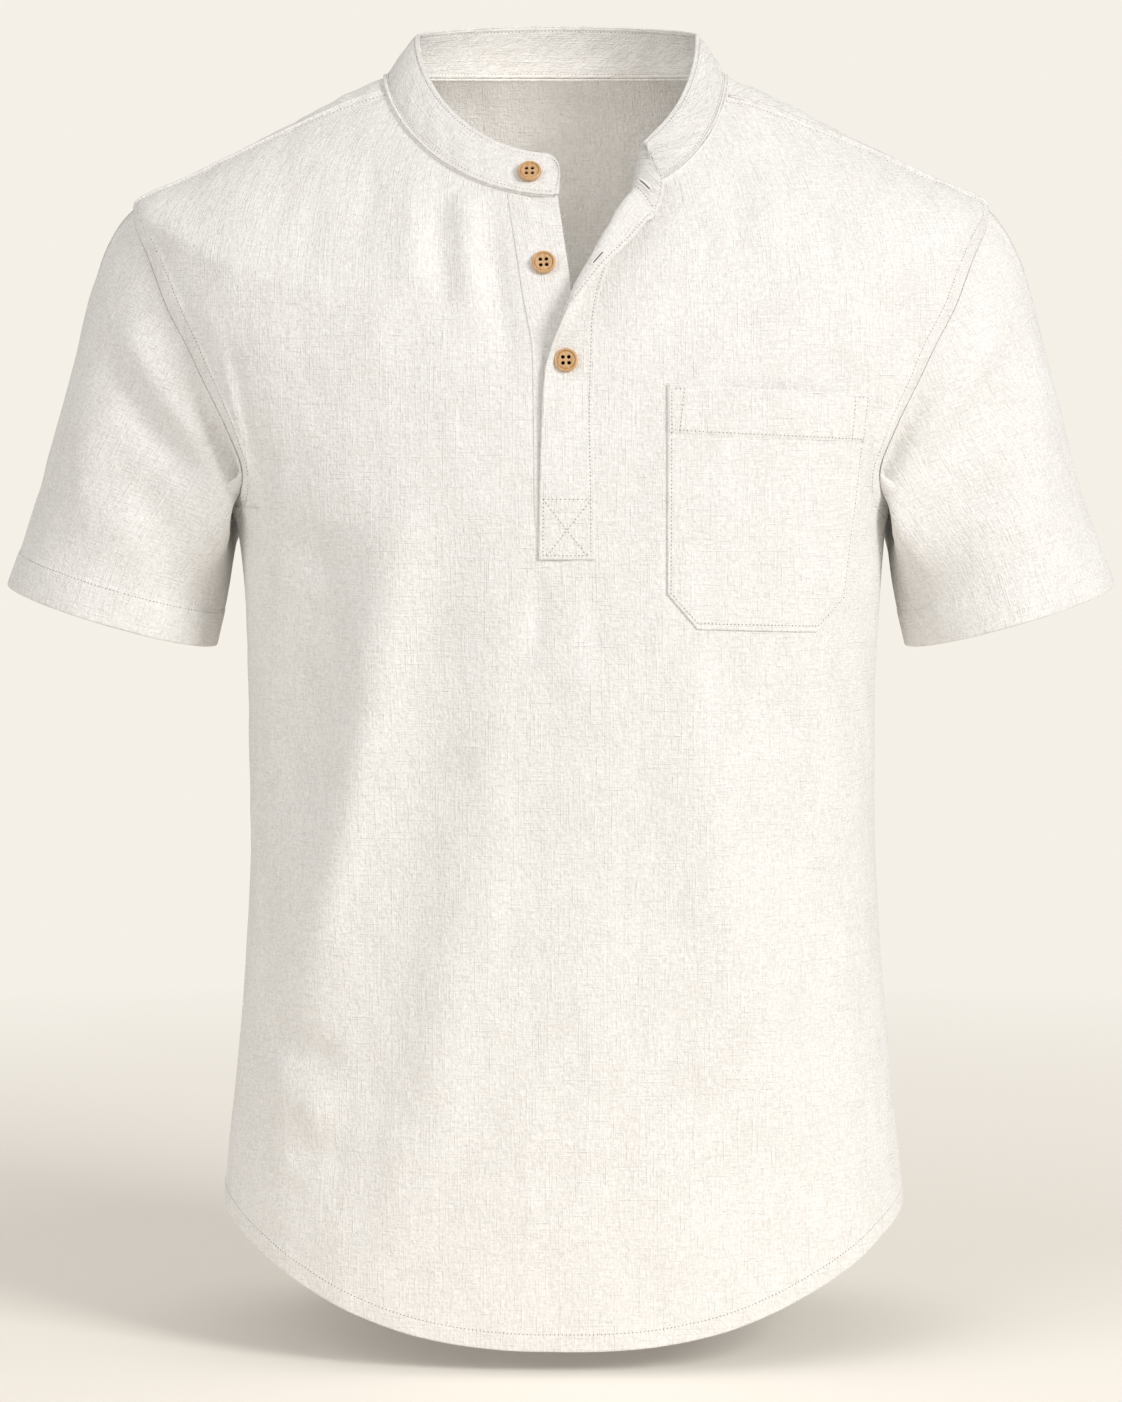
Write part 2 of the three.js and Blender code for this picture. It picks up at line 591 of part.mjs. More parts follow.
// The handles of its two curves, as shares of their lengths.
const FOLD_HANDLES = { leaveSeam: 0.45, intoRoll: 0.3, outOfRoll: 0.33, intoEdge: 0.4 };

/**
 * A section through an edge that turns over: from its sewn point to the roll, and from
 * there to the free edge. `turn` is how far it has turned at the roll, in degrees.
 */
function turnedSection(seam, roll, edge, outward, turn) {
  const inward = roll.clone().sub(seam);
  inward.addScaledVector(outward, -inward.dot(outward)).normalize();
  const atRoll = inward.clone().multiplyScalar(Math.cos(radians(turn)))
    .addScaledVector(outward, Math.sin(radians(turn)));
  const last = edge.clone().sub(roll);
  const flatten = Math.abs(Math.cos(radians(2 * turn)));
  last.addScaledVector(outward, -last.dot(outward) * flatten).normalize();
  const firstReach = seam.distanceTo(roll);
  const raised = roll.clone().sub(seam).dot(outward);
  const longest = firstReach * FOLD_HANDLES.intoRoll;
  const handle = turn > 0
    ? Math.min(longest, Math.max(raised, 0) / Math.sin(radians(turn)))
    : longest;
  const lastReach = roll.distanceTo(edge);
  const attached = new THREE.CubicBezierCurve3(
    seam,
    seam.clone().addScaledVector(inward, firstReach * FOLD_HANDLES.leaveSeam),
    roll.clone().addScaledVector(atRoll, -handle),
    roll,
  );
  const turned = new THREE.CubicBezierCurve3(
    roll,
    roll.clone().addScaledVector(atRoll, lastReach * FOLD_HANDLES.outOfRoll),
    edge.clone().addScaledVector(last, -lastReach * FOLD_HANDLES.intoEdge),
    edge,
  );
  return [
    ...evenly(FOLD_CELLS, 0, 1).map((t) => attached.getPoint(t)).slice(0, -1),
    ...evenly(FOLD_CELLS, 0, 1).map((t) => turned.getPoint(t)),
  ];
}

const stationAt = tableCurves(OVER_PLACKET.map((row, index) => ({ ...row, index })), 'index');
const BAND_OUT = vec(0.35, -0.85, 0.4).normalize();   // out of the band at its turned end

/** A point that lies `out` from the placket's place on the front, at this x and z. */
function placketPoint([x, z, out = 0]) {
  const stitch = frontStitch(x, z);
  return stitch.at.addScaledVector(stitch.out, PLACKET_LIFT + out);
}

/** The over placket's section at a row of its table, or between two. */
function overSection(index) {
  const { seam, roll, edge, turn } = stationAt(index);
  const outward = frontStitch(roll[0], roll[1]).out;
  return turnedSection(placketPoint(seam), placketPoint(roll), placketPoint(edge), outward, turn);
}

/** Its last section lies along the band's sewn edge, and turns over with it. */
function neckSection() {
  const { seam } = OVER_PLACKET[OVER_PLACKET.length - 1];
  const { roll, edge } = BAND_END[0];
  return turnedSection(placketPoint(seam), vec(...roll), vec(...edge), BAND_OUT, BAND_TURN);
}

function overPlacket() {
  const last = OVER_PLACKET.length - 1;
  const indices = [0, 1, ...evenly(2 * (last - 1), 1, last).slice(1, -1)];
  const sections = indices.map(overSection);
  const before = sections[sections.length - 1];
  const top = neckSection().map((at, i) => (
    at.addScaledVector(at.clone().sub(before[i]).normalize(), -BAND_CLEAR)
  ));
  const stitches = stitchesOf([...sections, top], vec(0, -1, 0));
  return wall(stitches, () => [-PLY / 2, PLY / 2]);
}

function underPlacket() {
  const levels = BODY_LEVELS.filter((level) => level >= ARMPIT_LEVEL);
  const rows = levels.map((level) => {
    const { seam, edge } = underPlacketAt(ringAt(level).frontZ);
    const raised = level === ARMPIT_LEVEL ? level + SEAM_GAP : level;
    return evenly(4, seam, edge).map((x) => formStitch(raised, angleOfX(raised, x)));
  });
  return wall(rows, () => [-PLY / 2, PLY / 2]);
}

addPiece('placket_under', underPlacket(), LINEN);
addPiece('placket_over', overPlacket(), LINEN);

// ---------------------------------------------------------------- band collar

const BAND_SPLIT = (SEAM_GAP + FACET_EASE) / 2;   // from the band's middle to either layer
const BAND_ROWS = 4;
const BAND_COLUMNS = 27;

/** The band's own surface: `rise` 0 is its sewn edge and 1 its upper edge. */
function bandPoint(angle, rise) {
  const low = formPoint(NECK_LEVEL, angle);
  const high = ringPoint(COLLAR_TOP, COLLAR_TOP.level, angle);
  const up = high.clone().sub(low);
  const lift = BAND_GAP / up.length();
  const outward = vec(low.x - ringAt(NECK_LEVEL).shift, low.y, 0).normalize();
  return low.addScaledVector(up, mix(lift, 1, rise))
    .addScaledVector(outward, BAND_CROWN * 4 * rise * (1 - rise));
}

const bandEndAt = tableCurves(BAND_END, 'rise');
const CORNER_COLUMNS = [0, 0.15, 0.4, 0.7, 1];   // shares of the arc, crowded at the corner

/** One row along the band, from its rounded end to its turned-over one. */
function bandRow(share) {
  const { angle, corner, arc } = BAND_START;
  const { start, roll, edge } = bandEndAt(share);
  const height = bandPoint(angle, 1).distanceTo(bandPoint(angle, 0));
  const arcLength = bandPoint(angle + arc, 1).distanceTo(bandPoint(angle, 1));
  const rounded = CORNER_COLUMNS.map((part) => {
    const inside = Math.min(part * arcLength / corner, 1);
    const cut = corner * (1 - Math.sqrt(1 - (1 - inside) ** 2));
    return bandPoint(angle + part * arc, share * (1 - cut / height));
  });
  const along = evenly(BAND_COLUMNS, angle + arc, 360 + start).slice(1)
    .map((place) => bandPoint(place, share));
  const seam = along[along.length - 1];
  const end = turnedSection(seam, vec(...roll), vec(...edge), BAND_OUT, BAND_TURN).slice(1);
  return [...rounded, ...along, ...end];
}

function bandLayer(inner, outer) {
  const points = evenly(BAND_ROWS, 0, 1).map(bandRow);
  const stitches = stitchesOf(points, vec(0, -1, 0.5));
  return wall(stitches, () => [inner, outer]);
}

addPiece('collar_outer', bandLayer(BAND_SPLIT, BAND_SPLIT + PLY), LINEN);
addPiece('collar_inner', bandLayer(-BAND_SPLIT - PLY, -BAND_SPLIT), LINEN_INSIDE);

// ---------------------------------------------------------------- pocket

/** A point of the pocket at these shares of its width and depth, on the front. */
function pocketStitch(across, down) {
  const { top, bottom, chamferX, chamferZ } = POCKET;
  const x = mix(mix(top.left, top.right, across), mix(bottom.left, bottom.right, across), down);
  const z = mix(mix(top.leftZ, top.rightZ, across), mix(bottom.leftZ, bottom.rightZ, across), down);
  const fromSide = Math.min(across, 1 - across) * (bottom.right - bottom.left);
  const inside = Math.min(fromSide / chamferX, 1);
  return frontStitch(x, z - inside * chamferZ * down ** 3);
}

function pocket() {
  const { top, bottom, hem, hemExtra, ease } = POCKET;
  const depth = top.leftZ - bottom.leftZ;
  const shares = [0, hem / depth, (hem + HEM_STEP) / depth, ...POCKET_ROWS];
  const rows = shares.map((down) => POCKET_COLUMNS.map((across) => pocketStitch(across, down)));
  const base = PLY / 2 + SEAM_GAP + ease;
  return wall(rows, (j) => [base, base + PLY + (j < HEM_ROWS ? hemExtra : 0)]);
}

addPiece('pocket', pocket(), LINEN);

// ---------------------------------------------------------------- buttons

const solidOf = (geometry) => {
  geometry.deleteAttribute('normal');
  geometry.deleteAttribute('uv');
  const merged = mergeVertices(geometry, 1e-4);
  return new wasm.Manifold(new wasm.Mesh({
    numProp: 3,
    vertProperties: new Float32Array(merged.attributes.position.array),
    triVerts: new Uint32Array(merged.index.array),
  }));
};

function geometryOf(solid) {
  const { vertProperties, triVerts } = solid.getMesh();
  const geometry = new THREE.BufferGeometry();
  geometry.setAttribute('position', new THREE.BufferAttribute(vertProperties, 3));
  geometry.setIndex(new THREE.BufferAttribute(triVerts, 1));
  return geometry;
}

/** A dished wooden button with a rim and four sewing holes, lying on z = 0. */
function buttonBlank() {
  const { radius, thick, rim, dish, hole, spread, bevel, sides, holeSides } = BUTTON;
  const floor = thick - dish;
  const profile = [
    [0, 0], [radius - bevel, 0], [radius, bevel], [radius, thick - bevel], [radius - bevel / 2, thick],
    [radius - rim, thick], [radius - rim - bevel / 2, floor], [0, floor],
  ].map(([x, y]) => new THREE.Vector2(x, y));
  const turned = new THREE.LatheGeometry(profile, sides).rotateX(Math.PI / 2);
  let solid = solidOf(turned);
  for (const [x, y] of [[1, 1], [1, -1], [-1, 1], [-1, -1]]) {
    const drill = new THREE.CylinderGeometry(hole, hole, 3 * thick, holeSides).rotateX(Math.PI / 2);
    drill.translate(x * spread, y * spread, thick / 2);
    solid = solid.subtract(solidOf(drill));
  }
  return geometryOf(solid);
}

/** Sews a button on at a stitch; `lift` is from the stitch to the cloth's outer face. */
function addButton(name, { at, out }, lift, turn) {
  const button = addPiece(name, buttonBlank(), WOOD);
  button.quaternion.setFromUnitVectors(vec(0, 0, 1), out);
  button.rotateZ(radians(turn));
  button.position.copy(at).addScaledVector(out, lift + BUTTON.seat);
}

/** The stitch at a place on the band, in degrees along it and as a share of its height. */
function collarStitch({ angle, rise }) {
  const at = bandPoint(angle, rise);
  const along = bandPoint(angle + 2, rise).sub(bandPoint(angle - 2, rise));
  const up = bandPoint(angle, rise + 0.1).sub(bandPoint(angle, rise - 0.1));
  return { at, out: up.cross(along).normalize() };
}

const { collar, middle, lower } = BUTTON_PLACES;
addButton('button_collar', collarStitch(collar), BAND_SPLIT + PLY, collar.turn);
addButton('button_middle', frontStitch(middle.x, middle.z), PLY / 2, middle.turn);
addButton('button_lower', frontStitch(lower.x, lower.z), PLACKET_LIFT + PLY / 2 + lower.ease, lower.turn);

export default group;
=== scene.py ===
"""The looks of a henley shirt in its worn form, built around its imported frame.

Metres, +Z up. The wearer faces -Y and the wearer's left is +X. Every piece of cloth is a
grid laid over the shirt's hollow form, moved by its folds, and closed into a thin shell
whose faces meet at its edges, as a turned or pressed edge does.
"""

import logging
import math
from collections.abc import Callable, Iterable, Sequence
from dataclasses import dataclass, replace
from enum import Enum
from typing import ClassVar

import bmesh
import bpy
import numpy as np
from mathutils import Matrix, Vector
from mathutils.bvhtree import BVHTree


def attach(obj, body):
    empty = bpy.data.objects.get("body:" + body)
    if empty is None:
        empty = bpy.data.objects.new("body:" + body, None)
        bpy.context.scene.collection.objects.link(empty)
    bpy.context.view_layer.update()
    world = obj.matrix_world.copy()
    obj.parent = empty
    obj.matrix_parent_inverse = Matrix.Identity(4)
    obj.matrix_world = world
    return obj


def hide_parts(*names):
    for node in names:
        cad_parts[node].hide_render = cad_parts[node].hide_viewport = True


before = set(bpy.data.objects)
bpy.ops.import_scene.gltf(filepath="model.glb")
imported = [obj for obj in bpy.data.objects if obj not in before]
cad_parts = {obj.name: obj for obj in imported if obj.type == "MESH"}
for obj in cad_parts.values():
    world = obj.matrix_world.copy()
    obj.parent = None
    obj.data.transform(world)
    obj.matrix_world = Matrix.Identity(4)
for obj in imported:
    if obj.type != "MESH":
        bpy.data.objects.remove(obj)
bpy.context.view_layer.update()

Array = np.ndarray
Numbers = Array | float          # one number, or an array of them
Line = tuple[Array, Array]       # points, and the ways out of the cloth there
Triple = tuple[float, float, float]     # a colour, or sizes or a place in X, Y and Z
Piece = bpy.types.Object
Material = bpy.types.Material
Socket = bpy.types.NodeSocket
log = logging.getLogger("henley")

# ---- driving sizes

MILLIMETRES = 1000.0         # in a metre
PLY = 0.0008                 # one layer of cloth
HEM_LEVEL = -0.625           # the side seams end here
ARMPIT_LEVEL = -0.238
TIP_LEVEL = -0.0736          # where the shoulder seam meets the sleeve
NECK_LEVEL = -0.0018         # the neck seam, at the shoulders
TIP_EASE = 0.0214            # the armhole turns into the shoulder seam over this height
PLACKET_LIFT = 0.0017        # the over placket lies this far out from the front
PLACKET_SINK = 0.0002        # less this, where it is pressed down
BODY_HEM = 0.0095            # from the body's edge up to its hem's stitches
SLEEVE_HEM = 0.0195
FELL = 0.009                 # from the armhole's seam to its topstitching, on the body


def mix(a: Numbers, b: Numbers, share: Numbers) -> Numbers:
    """Goes from a to b as share goes from 0 to 1."""
    return a + (b - a) * share


def ease(share: Numbers) -> Array:
    """A smooth step from 0 to 1, flat outside them."""
    share = np.clip(share, 0.0, 1.0)
    return share * share * (3.0 - 2.0 * share)


def unit(vectors: Array) -> Array:
    """The vectors scaled to length 1."""
    return vectors / np.maximum(np.linalg.norm(vectors, axis=-1, keepdims=True), 1e-12)


def bell(distance: Array, width: Numbers) -> Array:
    """1 where the distance is 0, and fading to nothing within about two widths."""
    return np.exp(-(distance / width) ** 2)


def laid(points: Array, outs: Array, height: Array) -> Array:
    """Points moved outwards, each by its own height."""
    return points + outs * height[..., None]


def travelled(points: Array, axis: int = 0) -> Array:
    """How far each point is along its line, for lines of points that run along one axis."""
    steps = np.linalg.norm(np.diff(points, axis=axis), axis=-1)
    first = np.zeros_like(points[..., 0].take([0], axis))
    return np.concatenate([first, np.cumsum(steps, axis=axis)], axis=axis)


def read_along(points: Array, along: Array, at: Array) -> Array:
    """A line's points, read between them at some distances along it."""
    return np.stack([np.interp(at, along, points[:, axis]) for axis in range(3)], axis=-1)


def monotone(xs: Array, ys: Array, at: Numbers) -> Array:
    """Reads a monotone cubic through some points.

    Args:
        xs: The points' places, rising.
        ys: Their values.
        at: Where to read, held inside the range of xs.

    Returns:
        The curve's values.
    """
    span = np.diff(xs)
    slope = np.diff(ys) / span
    left, right = span[:-1], span[1:]
    with np.errstate(divide="ignore", invalid="ignore"):
        inner = 3 * (left + right) / ((2 * right + left) / slope[:-1] + (right + 2 * left) / slope[1:])
    inner = np.where(slope[:-1] * slope[1:] > 0, inner, 0.0)
    tangent = np.concatenate([slope[:1], inner, slope[-1:]])
    at = np.clip(at, xs[0], xs[-1])
    i = np.clip(np.searchsorted(xs, at, side="right") - 1, 0, len(span) - 1)
    t = (at - xs[i]) / span[i]
    rise = t * t * (3 - 2 * t)
    bend = span[i] * t * (1 - t) * ((1 - t) * tangent[i] - t * tangent[i + 1])
    return ys[i] * (1 - rise) + ys[i + 1] * rise + bend


class Table:
    """Smooth curves through the columns of a short table, read by its first column."""

    def __init__(self, columns: str, rows: Sequence[Sequence[float]]) -> None:
        """Takes the columns' names, in one string, and the rows."""
        self.names = columns.split()
        self.values = np.array(rows, float)

    def column(self, name: str) -> Array:
        """One column of the table itself."""
        return self.values[:, self.names.index(name)]

    def read(self, column: str, at: Numbers) -> Array:
        """One column's value at places along the first."""
        return monotone(self.values[:, 0], self.column(column), at)

    def reads(self, columns: str, at: Numbers) -> Array:
        """Several columns' values, stacked in the last axis."""
        return np.stack([self.read(name, at) for name in columns.split()], axis=-1)


# Rings of the hollow form. `level` is a ring's height at the side seam or on the shoulder;
# side, front and back are half-sizes, and the heights are at the centre front and back.
RINGS = Table("level side front front_z back back_z", [
    (HEM_LEVEL, 0.1896, 0.131, -0.6885, 0.127, -0.697),
    (-0.6, 0.1874, 0.1305, -0.646, 0.127, -0.653),
    (-0.56, 0.1832, 0.1295, -0.583, 0.1265, -0.587),
    (-0.51, 0.1786, 0.1285, -0.519, 0.126, -0.521),
    (-0.45, 0.1746, 0.1275, -0.451, 0.1255, -0.452),
    (-0.4, 0.173, 0.1275, -0.4, 0.125, -0.4),
    (-0.35, 0.173, 0.128, -0.35, 0.125, -0.35),
    (-0.3, 0.175, 0.1285, -0.3, 0.125, -0.3),
    (-0.268, 0.1772, 0.1285, -0.268, 0.1255, -0.268),
    (ARMPIT_LEVEL, 0.181, 0.128, -0.239, 0.126, -0.238),
    (-0.215, 0.19, 0.127, -0.224, 0.1265, -0.218),
    (-0.19, 0.206, 0.1255, -0.208, 0.127, -0.197),
    (-0.15, 0.225, 0.1225, -0.186, 0.127, -0.166),
    (-0.11, 0.236, 0.119, -0.163, 0.126, -0.133),
    (TIP_LEVEL, 0.2355, 0.1145, -0.141, 0.123, -0.098),
    (-0.0563, 0.203, 0.109, -0.124, 0.118, -0.066),
    (-0.0395, 0.17, 0.102, -0.106, 0.11, -0.038),
    (-0.024, 0.14, 0.096, -0.091, 0.098, -0.016),
    (-0.011, 0.115, 0.0915, -0.0795, 0.086, -0.005),
    (NECK_LEVEL, 0.093, 0.088, -0.0705, 0.075, 0.002),
])

# How the rings bend: the superellipse's power, the power of the rise to the sides, the
# shift along X, and how far the wearer's left front has dropped open.
SHAPES = Table("level square crest shift droop", [
    (HEM_LEVEL, 2.5, 2.0, 0.0014, 0.0),
    (-0.4, 2.5, 2.0, 0.0014, 0.0),
    (-0.35, 2.5, 2.0, 0.0013, 0.0),
    (-0.3, 2.6, 2.0, 0.001, 0.0),
    (-0.268, 2.7, 2.0, 0.0007, 0.0),
    (ARMPIT_LEVEL, 2.75, 2.0, 0.0, 0.0),
    (-0.19, 2.45, 2.0, 0.0, 0.0),
    (-0.15, 2.3, 2.0, 0.0, 0.0),
    (-0.11, 2.25, 1.9, 0.0, 0.0),
    (TIP_LEVEL, 2.22, 1.7, 0.0, 0.0005),
    (-0.0563, 2.25, 1.6, -0.0005, 0.0015),
    (-0.0395, 2.2, 1.5, -0.001, 0.0035),
    (-0.024, 2.1, 1.4, -0.0017, 0.0055),
    (-0.011, 2.05, 1.3, -0.0024, 0.007),
    (NECK_LEVEL, 2.0, 1.2, -0.003, 0.008),
])

# The armhole on the rings, in degrees from the side line towards the front and the back.
ARMHOLE = Table("level front back", [
    (ARMPIT_LEVEL, 0.0, 0.0),
    (-0.235, 13.0, 12.0),
    (-0.229, 22.0, 20.0),
    (-0.214, 29.0, 26.0),
    (-0.185, 32.0, 27.5),
    (-0.145, 30.0, 25.0),
    (-0.118, 26.0, 20.0),
    (-0.095, 19.0, 12.0),
    (-0.08, 10.5, 1.0),
    (TIP_LEVEL, 4.5, -4.5),
])

# The button side's placket, by the height of its rows at the centre front.
UNDER_PLACKET = Table("z seam edge", [
    (-0.238, -0.0132, 0.011),
    (-0.189, -0.0138, 0.011),
    (-0.158, -0.0142, 0.0106),
    (-0.1218, -0.0198, 0.0059),
    (-0.0994, -0.0233, 0.0026),
    (-0.0705, -0.028, -0.0018),
])

# The buttonhole side's placket from its sewn box to the neck: its sewn edge on the front,
# the roll where it turns over and its free edge, with how far those stand out, and how
# far the strip has turned at the roll, in degrees.
OVER_PLACKET = Table("row seam_x seam_z roll_x roll_z roll_out edge_x edge_z edge_out turn", [
    (0, 0.018, -0.264, -0.003, -0.264, 0.0, -0.0118, -0.264, 0.0, 0.0),
    (1, 0.0178, -0.231, -0.003, -0.231, 0.0002, -0.0114, -0.231, 0.0005, 0.0),
    (2, 0.0172, -0.189, -0.003, -0.189, 0.0004, -0.0102, -0.189, 0.0016, 0.0),
    (3, 0.0176, -0.165, -0.003, -0.165, 0.0004, -0.0086, -0.165, 0.0026, 6.0),
    (4, 0.018, -0.153, -0.0018, -0.153, 0.0005, -0.005, -0.153, 0.0055, 38.0),
    (5, 0.0186, -0.138, 0.002, -0.138, 0.0045, 0.0025, -0.138, 0.0125, 70.0),
    (6, 0.0207, -0.1235, 0.0059, -0.1249, 0.0065, 0.011, -0.128, 0.013, 88.0),
    (7, 0.028, -0.102, 0.0171, -0.1041, 0.006, 0.0241, -0.1119, 0.011, 90.0),
    (8, 0.0385, -0.0795, 0.0283, -0.0836, 0.005, 0.0394, -0.0963, 0.009, 90.0),
    (9, 0.047, -0.0643, 0.0378, -0.0692, 0.0045, 0.0497, -0.0832, 0.008, 90.0),
])

# The band's turned-over end, from its sewn edge to its upper edge: the place on the neck,
# in degrees, where it leaves its loop, its roll and its free edge.
BAND_END = Table("rise start roll_x roll_y roll_z edge_x edge_y edge_z", [
    (0.0, 56.5, 0.0379, -0.084, -0.0684, 0.0499, -0.0918, -0.0822),
    (0.25, 53.5, 0.0396, -0.0795, -0.0616, 0.0534, -0.0902, -0.0738),
    (0.5, 50.5, 0.0409, -0.0745, -0.0552, 0.0548, -0.0882, -0.0646),
    (0.75, 47.5, 0.0422, -0.069, -0.0488, 0.0526, -0.085, -0.0576),
    (1.0, 44.5, 0.0435, -0.063, -0.0424, 0.0474, -0.0795, -0.0494),
])


# ---- the worn form


@dataclass
class Ring:
    """One ring of the form, or several as arrays."""

    level: Numbers
    side: Numbers
    front: Numbers
    front_z: Numbers
    back: Numbers
    back_z: Numbers
    square: Numbers
    crest: Numbers
    shift: Numbers
    droop: Numbers

    def point(self, angle: Numbers) -> Array:
        """The points at some angles.

        Args:
            angle: Degrees: 0 is the wearer's left side and 90 the centre front.

        Returns:
            The points.
        """
        across, deep = np.cos(np.radians(angle)), np.sin(np.radians(angle))
        ahead = deep >= 0
        opened = np.where(ahead & (across > 0), 2 * across * deep * self.droop, 0.0)
        depth = np.where(ahead, -self.front, self.back)
        centre_z = np.where(ahead, self.front_z, self.back_z)
        deep = np.abs(deep)
        x = self.shift + self.side * np.sign(across) * np.abs(across) ** (2 / self.square)
        y = depth * deep ** (2 / self.square)
        z = mix(self.level, centre_z, deep ** self.crest) - opened
        return np.stack(np.broadcast_arrays(x, y, z), axis=-1)


COLLAR_TOP = Ring(0.021, 0.077, 0.071, -0.048, 0.06, 0.03, 2.0, 1.1, -0.002, 0.007)


class Form:
    """The hollow form of the worn shirt: a stack of rings from the hem to the neck."""

    LEVEL_STEP = 0.0015
    ANGLE_STEP = 1.5

    @staticmethod
    def ring(level: Numbers) -> Ring:
        """The ring at a level."""
        sizes = [RINGS.read(name, level) for name in RINGS.names[1:]]
        shape = [SHAPES.read(name, level) for name in SHAPES.names[1:]]
        return Ring(level, *sizes, *shape)

    @classmethod
    def point(cls, level: Numbers, angle: Numbers) -> Array:
        """Points of the form."""
        return cls.ring(level).point(angle)

    @classmethod
    def out(cls, level: Numbers, angle: Numbers) -> Array:
        """The directions out of the form."""
        around = cls.point(level, angle + cls.ANGLE_STEP) - cls.point(level, angle - cls.ANGLE_STEP)
        above = np.minimum(level + cls.LEVEL_STEP, NECK_LEVEL)
        below = np.maximum(level - cls.LEVEL_STEP, HEM_LEVEL)
        return unit(np.cross(cls.point(above, angle) - cls.point(below, angle), around))

    @classmethod
    def angle_of_x(cls, level: Numbers, x: Numbers) -> Array:
        """The angle of the front's point at this level and x."""
        ring = cls.ring(level)
        reach = np.clip(np.abs(x - ring.shift) / ring.side, 0.0, 1.0) ** (ring.square / 2)
        angle = np.degrees(np.arccos(reach))
        return np.where(x >= ring.shift, angle, 180.0 - angle)

    @classmethod
    def front_place(cls, x: Array, z: Array) -> tuple[Array, Array]:
        """The level and angle of the front's points at x and z, by halving the levels.

        Args:
            x: The points' places across.
            z: Their heights.

        Returns:
            The levels and the angles.
        """
        x, z = np.broadcast_arrays(np.asarray(x, float), np.asarray(z, float))
        low = np.full(x.shape, HEM_LEVEL)
        high = np.full(x.shape, NECK_LEVEL)
        for _ in range(26):
            middle = (low + high) / 2
            under = cls.point(middle, cls.angle_of_x(middle, x))[..., 2] < z
            low = np.where(under, middle, low)
            high = np.where(under, high, middle)
        return low, cls.angle_of_x(low, x)


@dataclass(frozen=True)
class SeamLines:
    """Where the front and the back end on each ring."""

    forward_at_neck: float = 0.015
    forward_at_tip: float = 0.01

    def shoulder(self, level: Numbers) -> Array:
        """The shoulder seam's angle: it lies a little in front of the ridge."""
        outward = (NECK_LEVEL - level) / (NECK_LEVEL - TIP_LEVEL)
        forward = mix(self.forward_at_neck, self.forward_at_tip, outward)
        forward = np.where(level < TIP_LEVEL, 0.0, forward)
        ring = Form.ring(level)
        return np.degrees(np.arcsin((forward / ring.front) ** (ring.square / 2)))

    def edge(self, level: Numbers, which: str) -> Array:
        """The angle from the side line at which the front or the back ends."""
        sign = 1.0 if which == "front" else -1.0
        blend = np.clip(1 - (TIP_LEVEL - level) / TIP_EASE, 0.0, 1.0) ** 2
        armhole = mix(ARMHOLE.read(which, level), sign * self.shoulder(TIP_LEVEL), blend)
        above = np.where(level < TIP_LEVEL, armhole, sign * self.shoulder(level))
        return np.where(level < ARMPIT_LEVEL, 0.0, above)


SEAMS = SeamLines()

# How far from the side line the folds begin, in degrees: on below the armpit, where the
# armhole itself stops short.
CALM = Table("level turn", [
    (HEM_LEVEL, 0.0),
    (-0.33, 0.0),
    (-0.29, 4.0),
    (-0.255, 14.0),
    (-0.229, 22.0),
])


# ---- folds and crinkles


class Grain:
    """Smooth seeded noise over a plane, about -1 to 1, whose lumps are 1 across."""

    SIZE = 256

    def __init__(self, seed: int) -> None:
        """Draws the directions of the noise's lattice."""
        turns = np.random.default_rng(seed).uniform(0, 2 * math.pi, (self.SIZE, self.SIZE))
        self.slopes = np.stack([np.cos(turns), np.sin(turns)])

    def at(self, u: Array, v: Array) -> Array:
        """The noise at these places.

        Args:
            u: Places across.
            v: Places up.

        Returns:
            The noise, about -1 to 1.
        """
        u, v = np.broadcast_arrays(u, v)
        column, row = np.floor(u).astype(int), np.floor(v).astype(int)
        across, up = u - column, v - row
        fade_u = across ** 3 * (across * (across * 6 - 15) + 10)
        fade_v = up ** 3 * (up * (up * 6 - 15) + 10)

        def corner(i: int, j: int) -> Array:
            """What one corner of each cell of the lattice gives."""
            slope = self.slopes[:, (row + j) % self.SIZE, (column + i) % self.SIZE]
            return slope[0] * (across - i) + slope[1] * (up - j)

        low = mix(corner(0, 0), corner(1, 0), fade_u)
        high = mix(corner(0, 1), corner(1, 1), fade_u)
        return 1.5 * mix(low, high, fade_v)


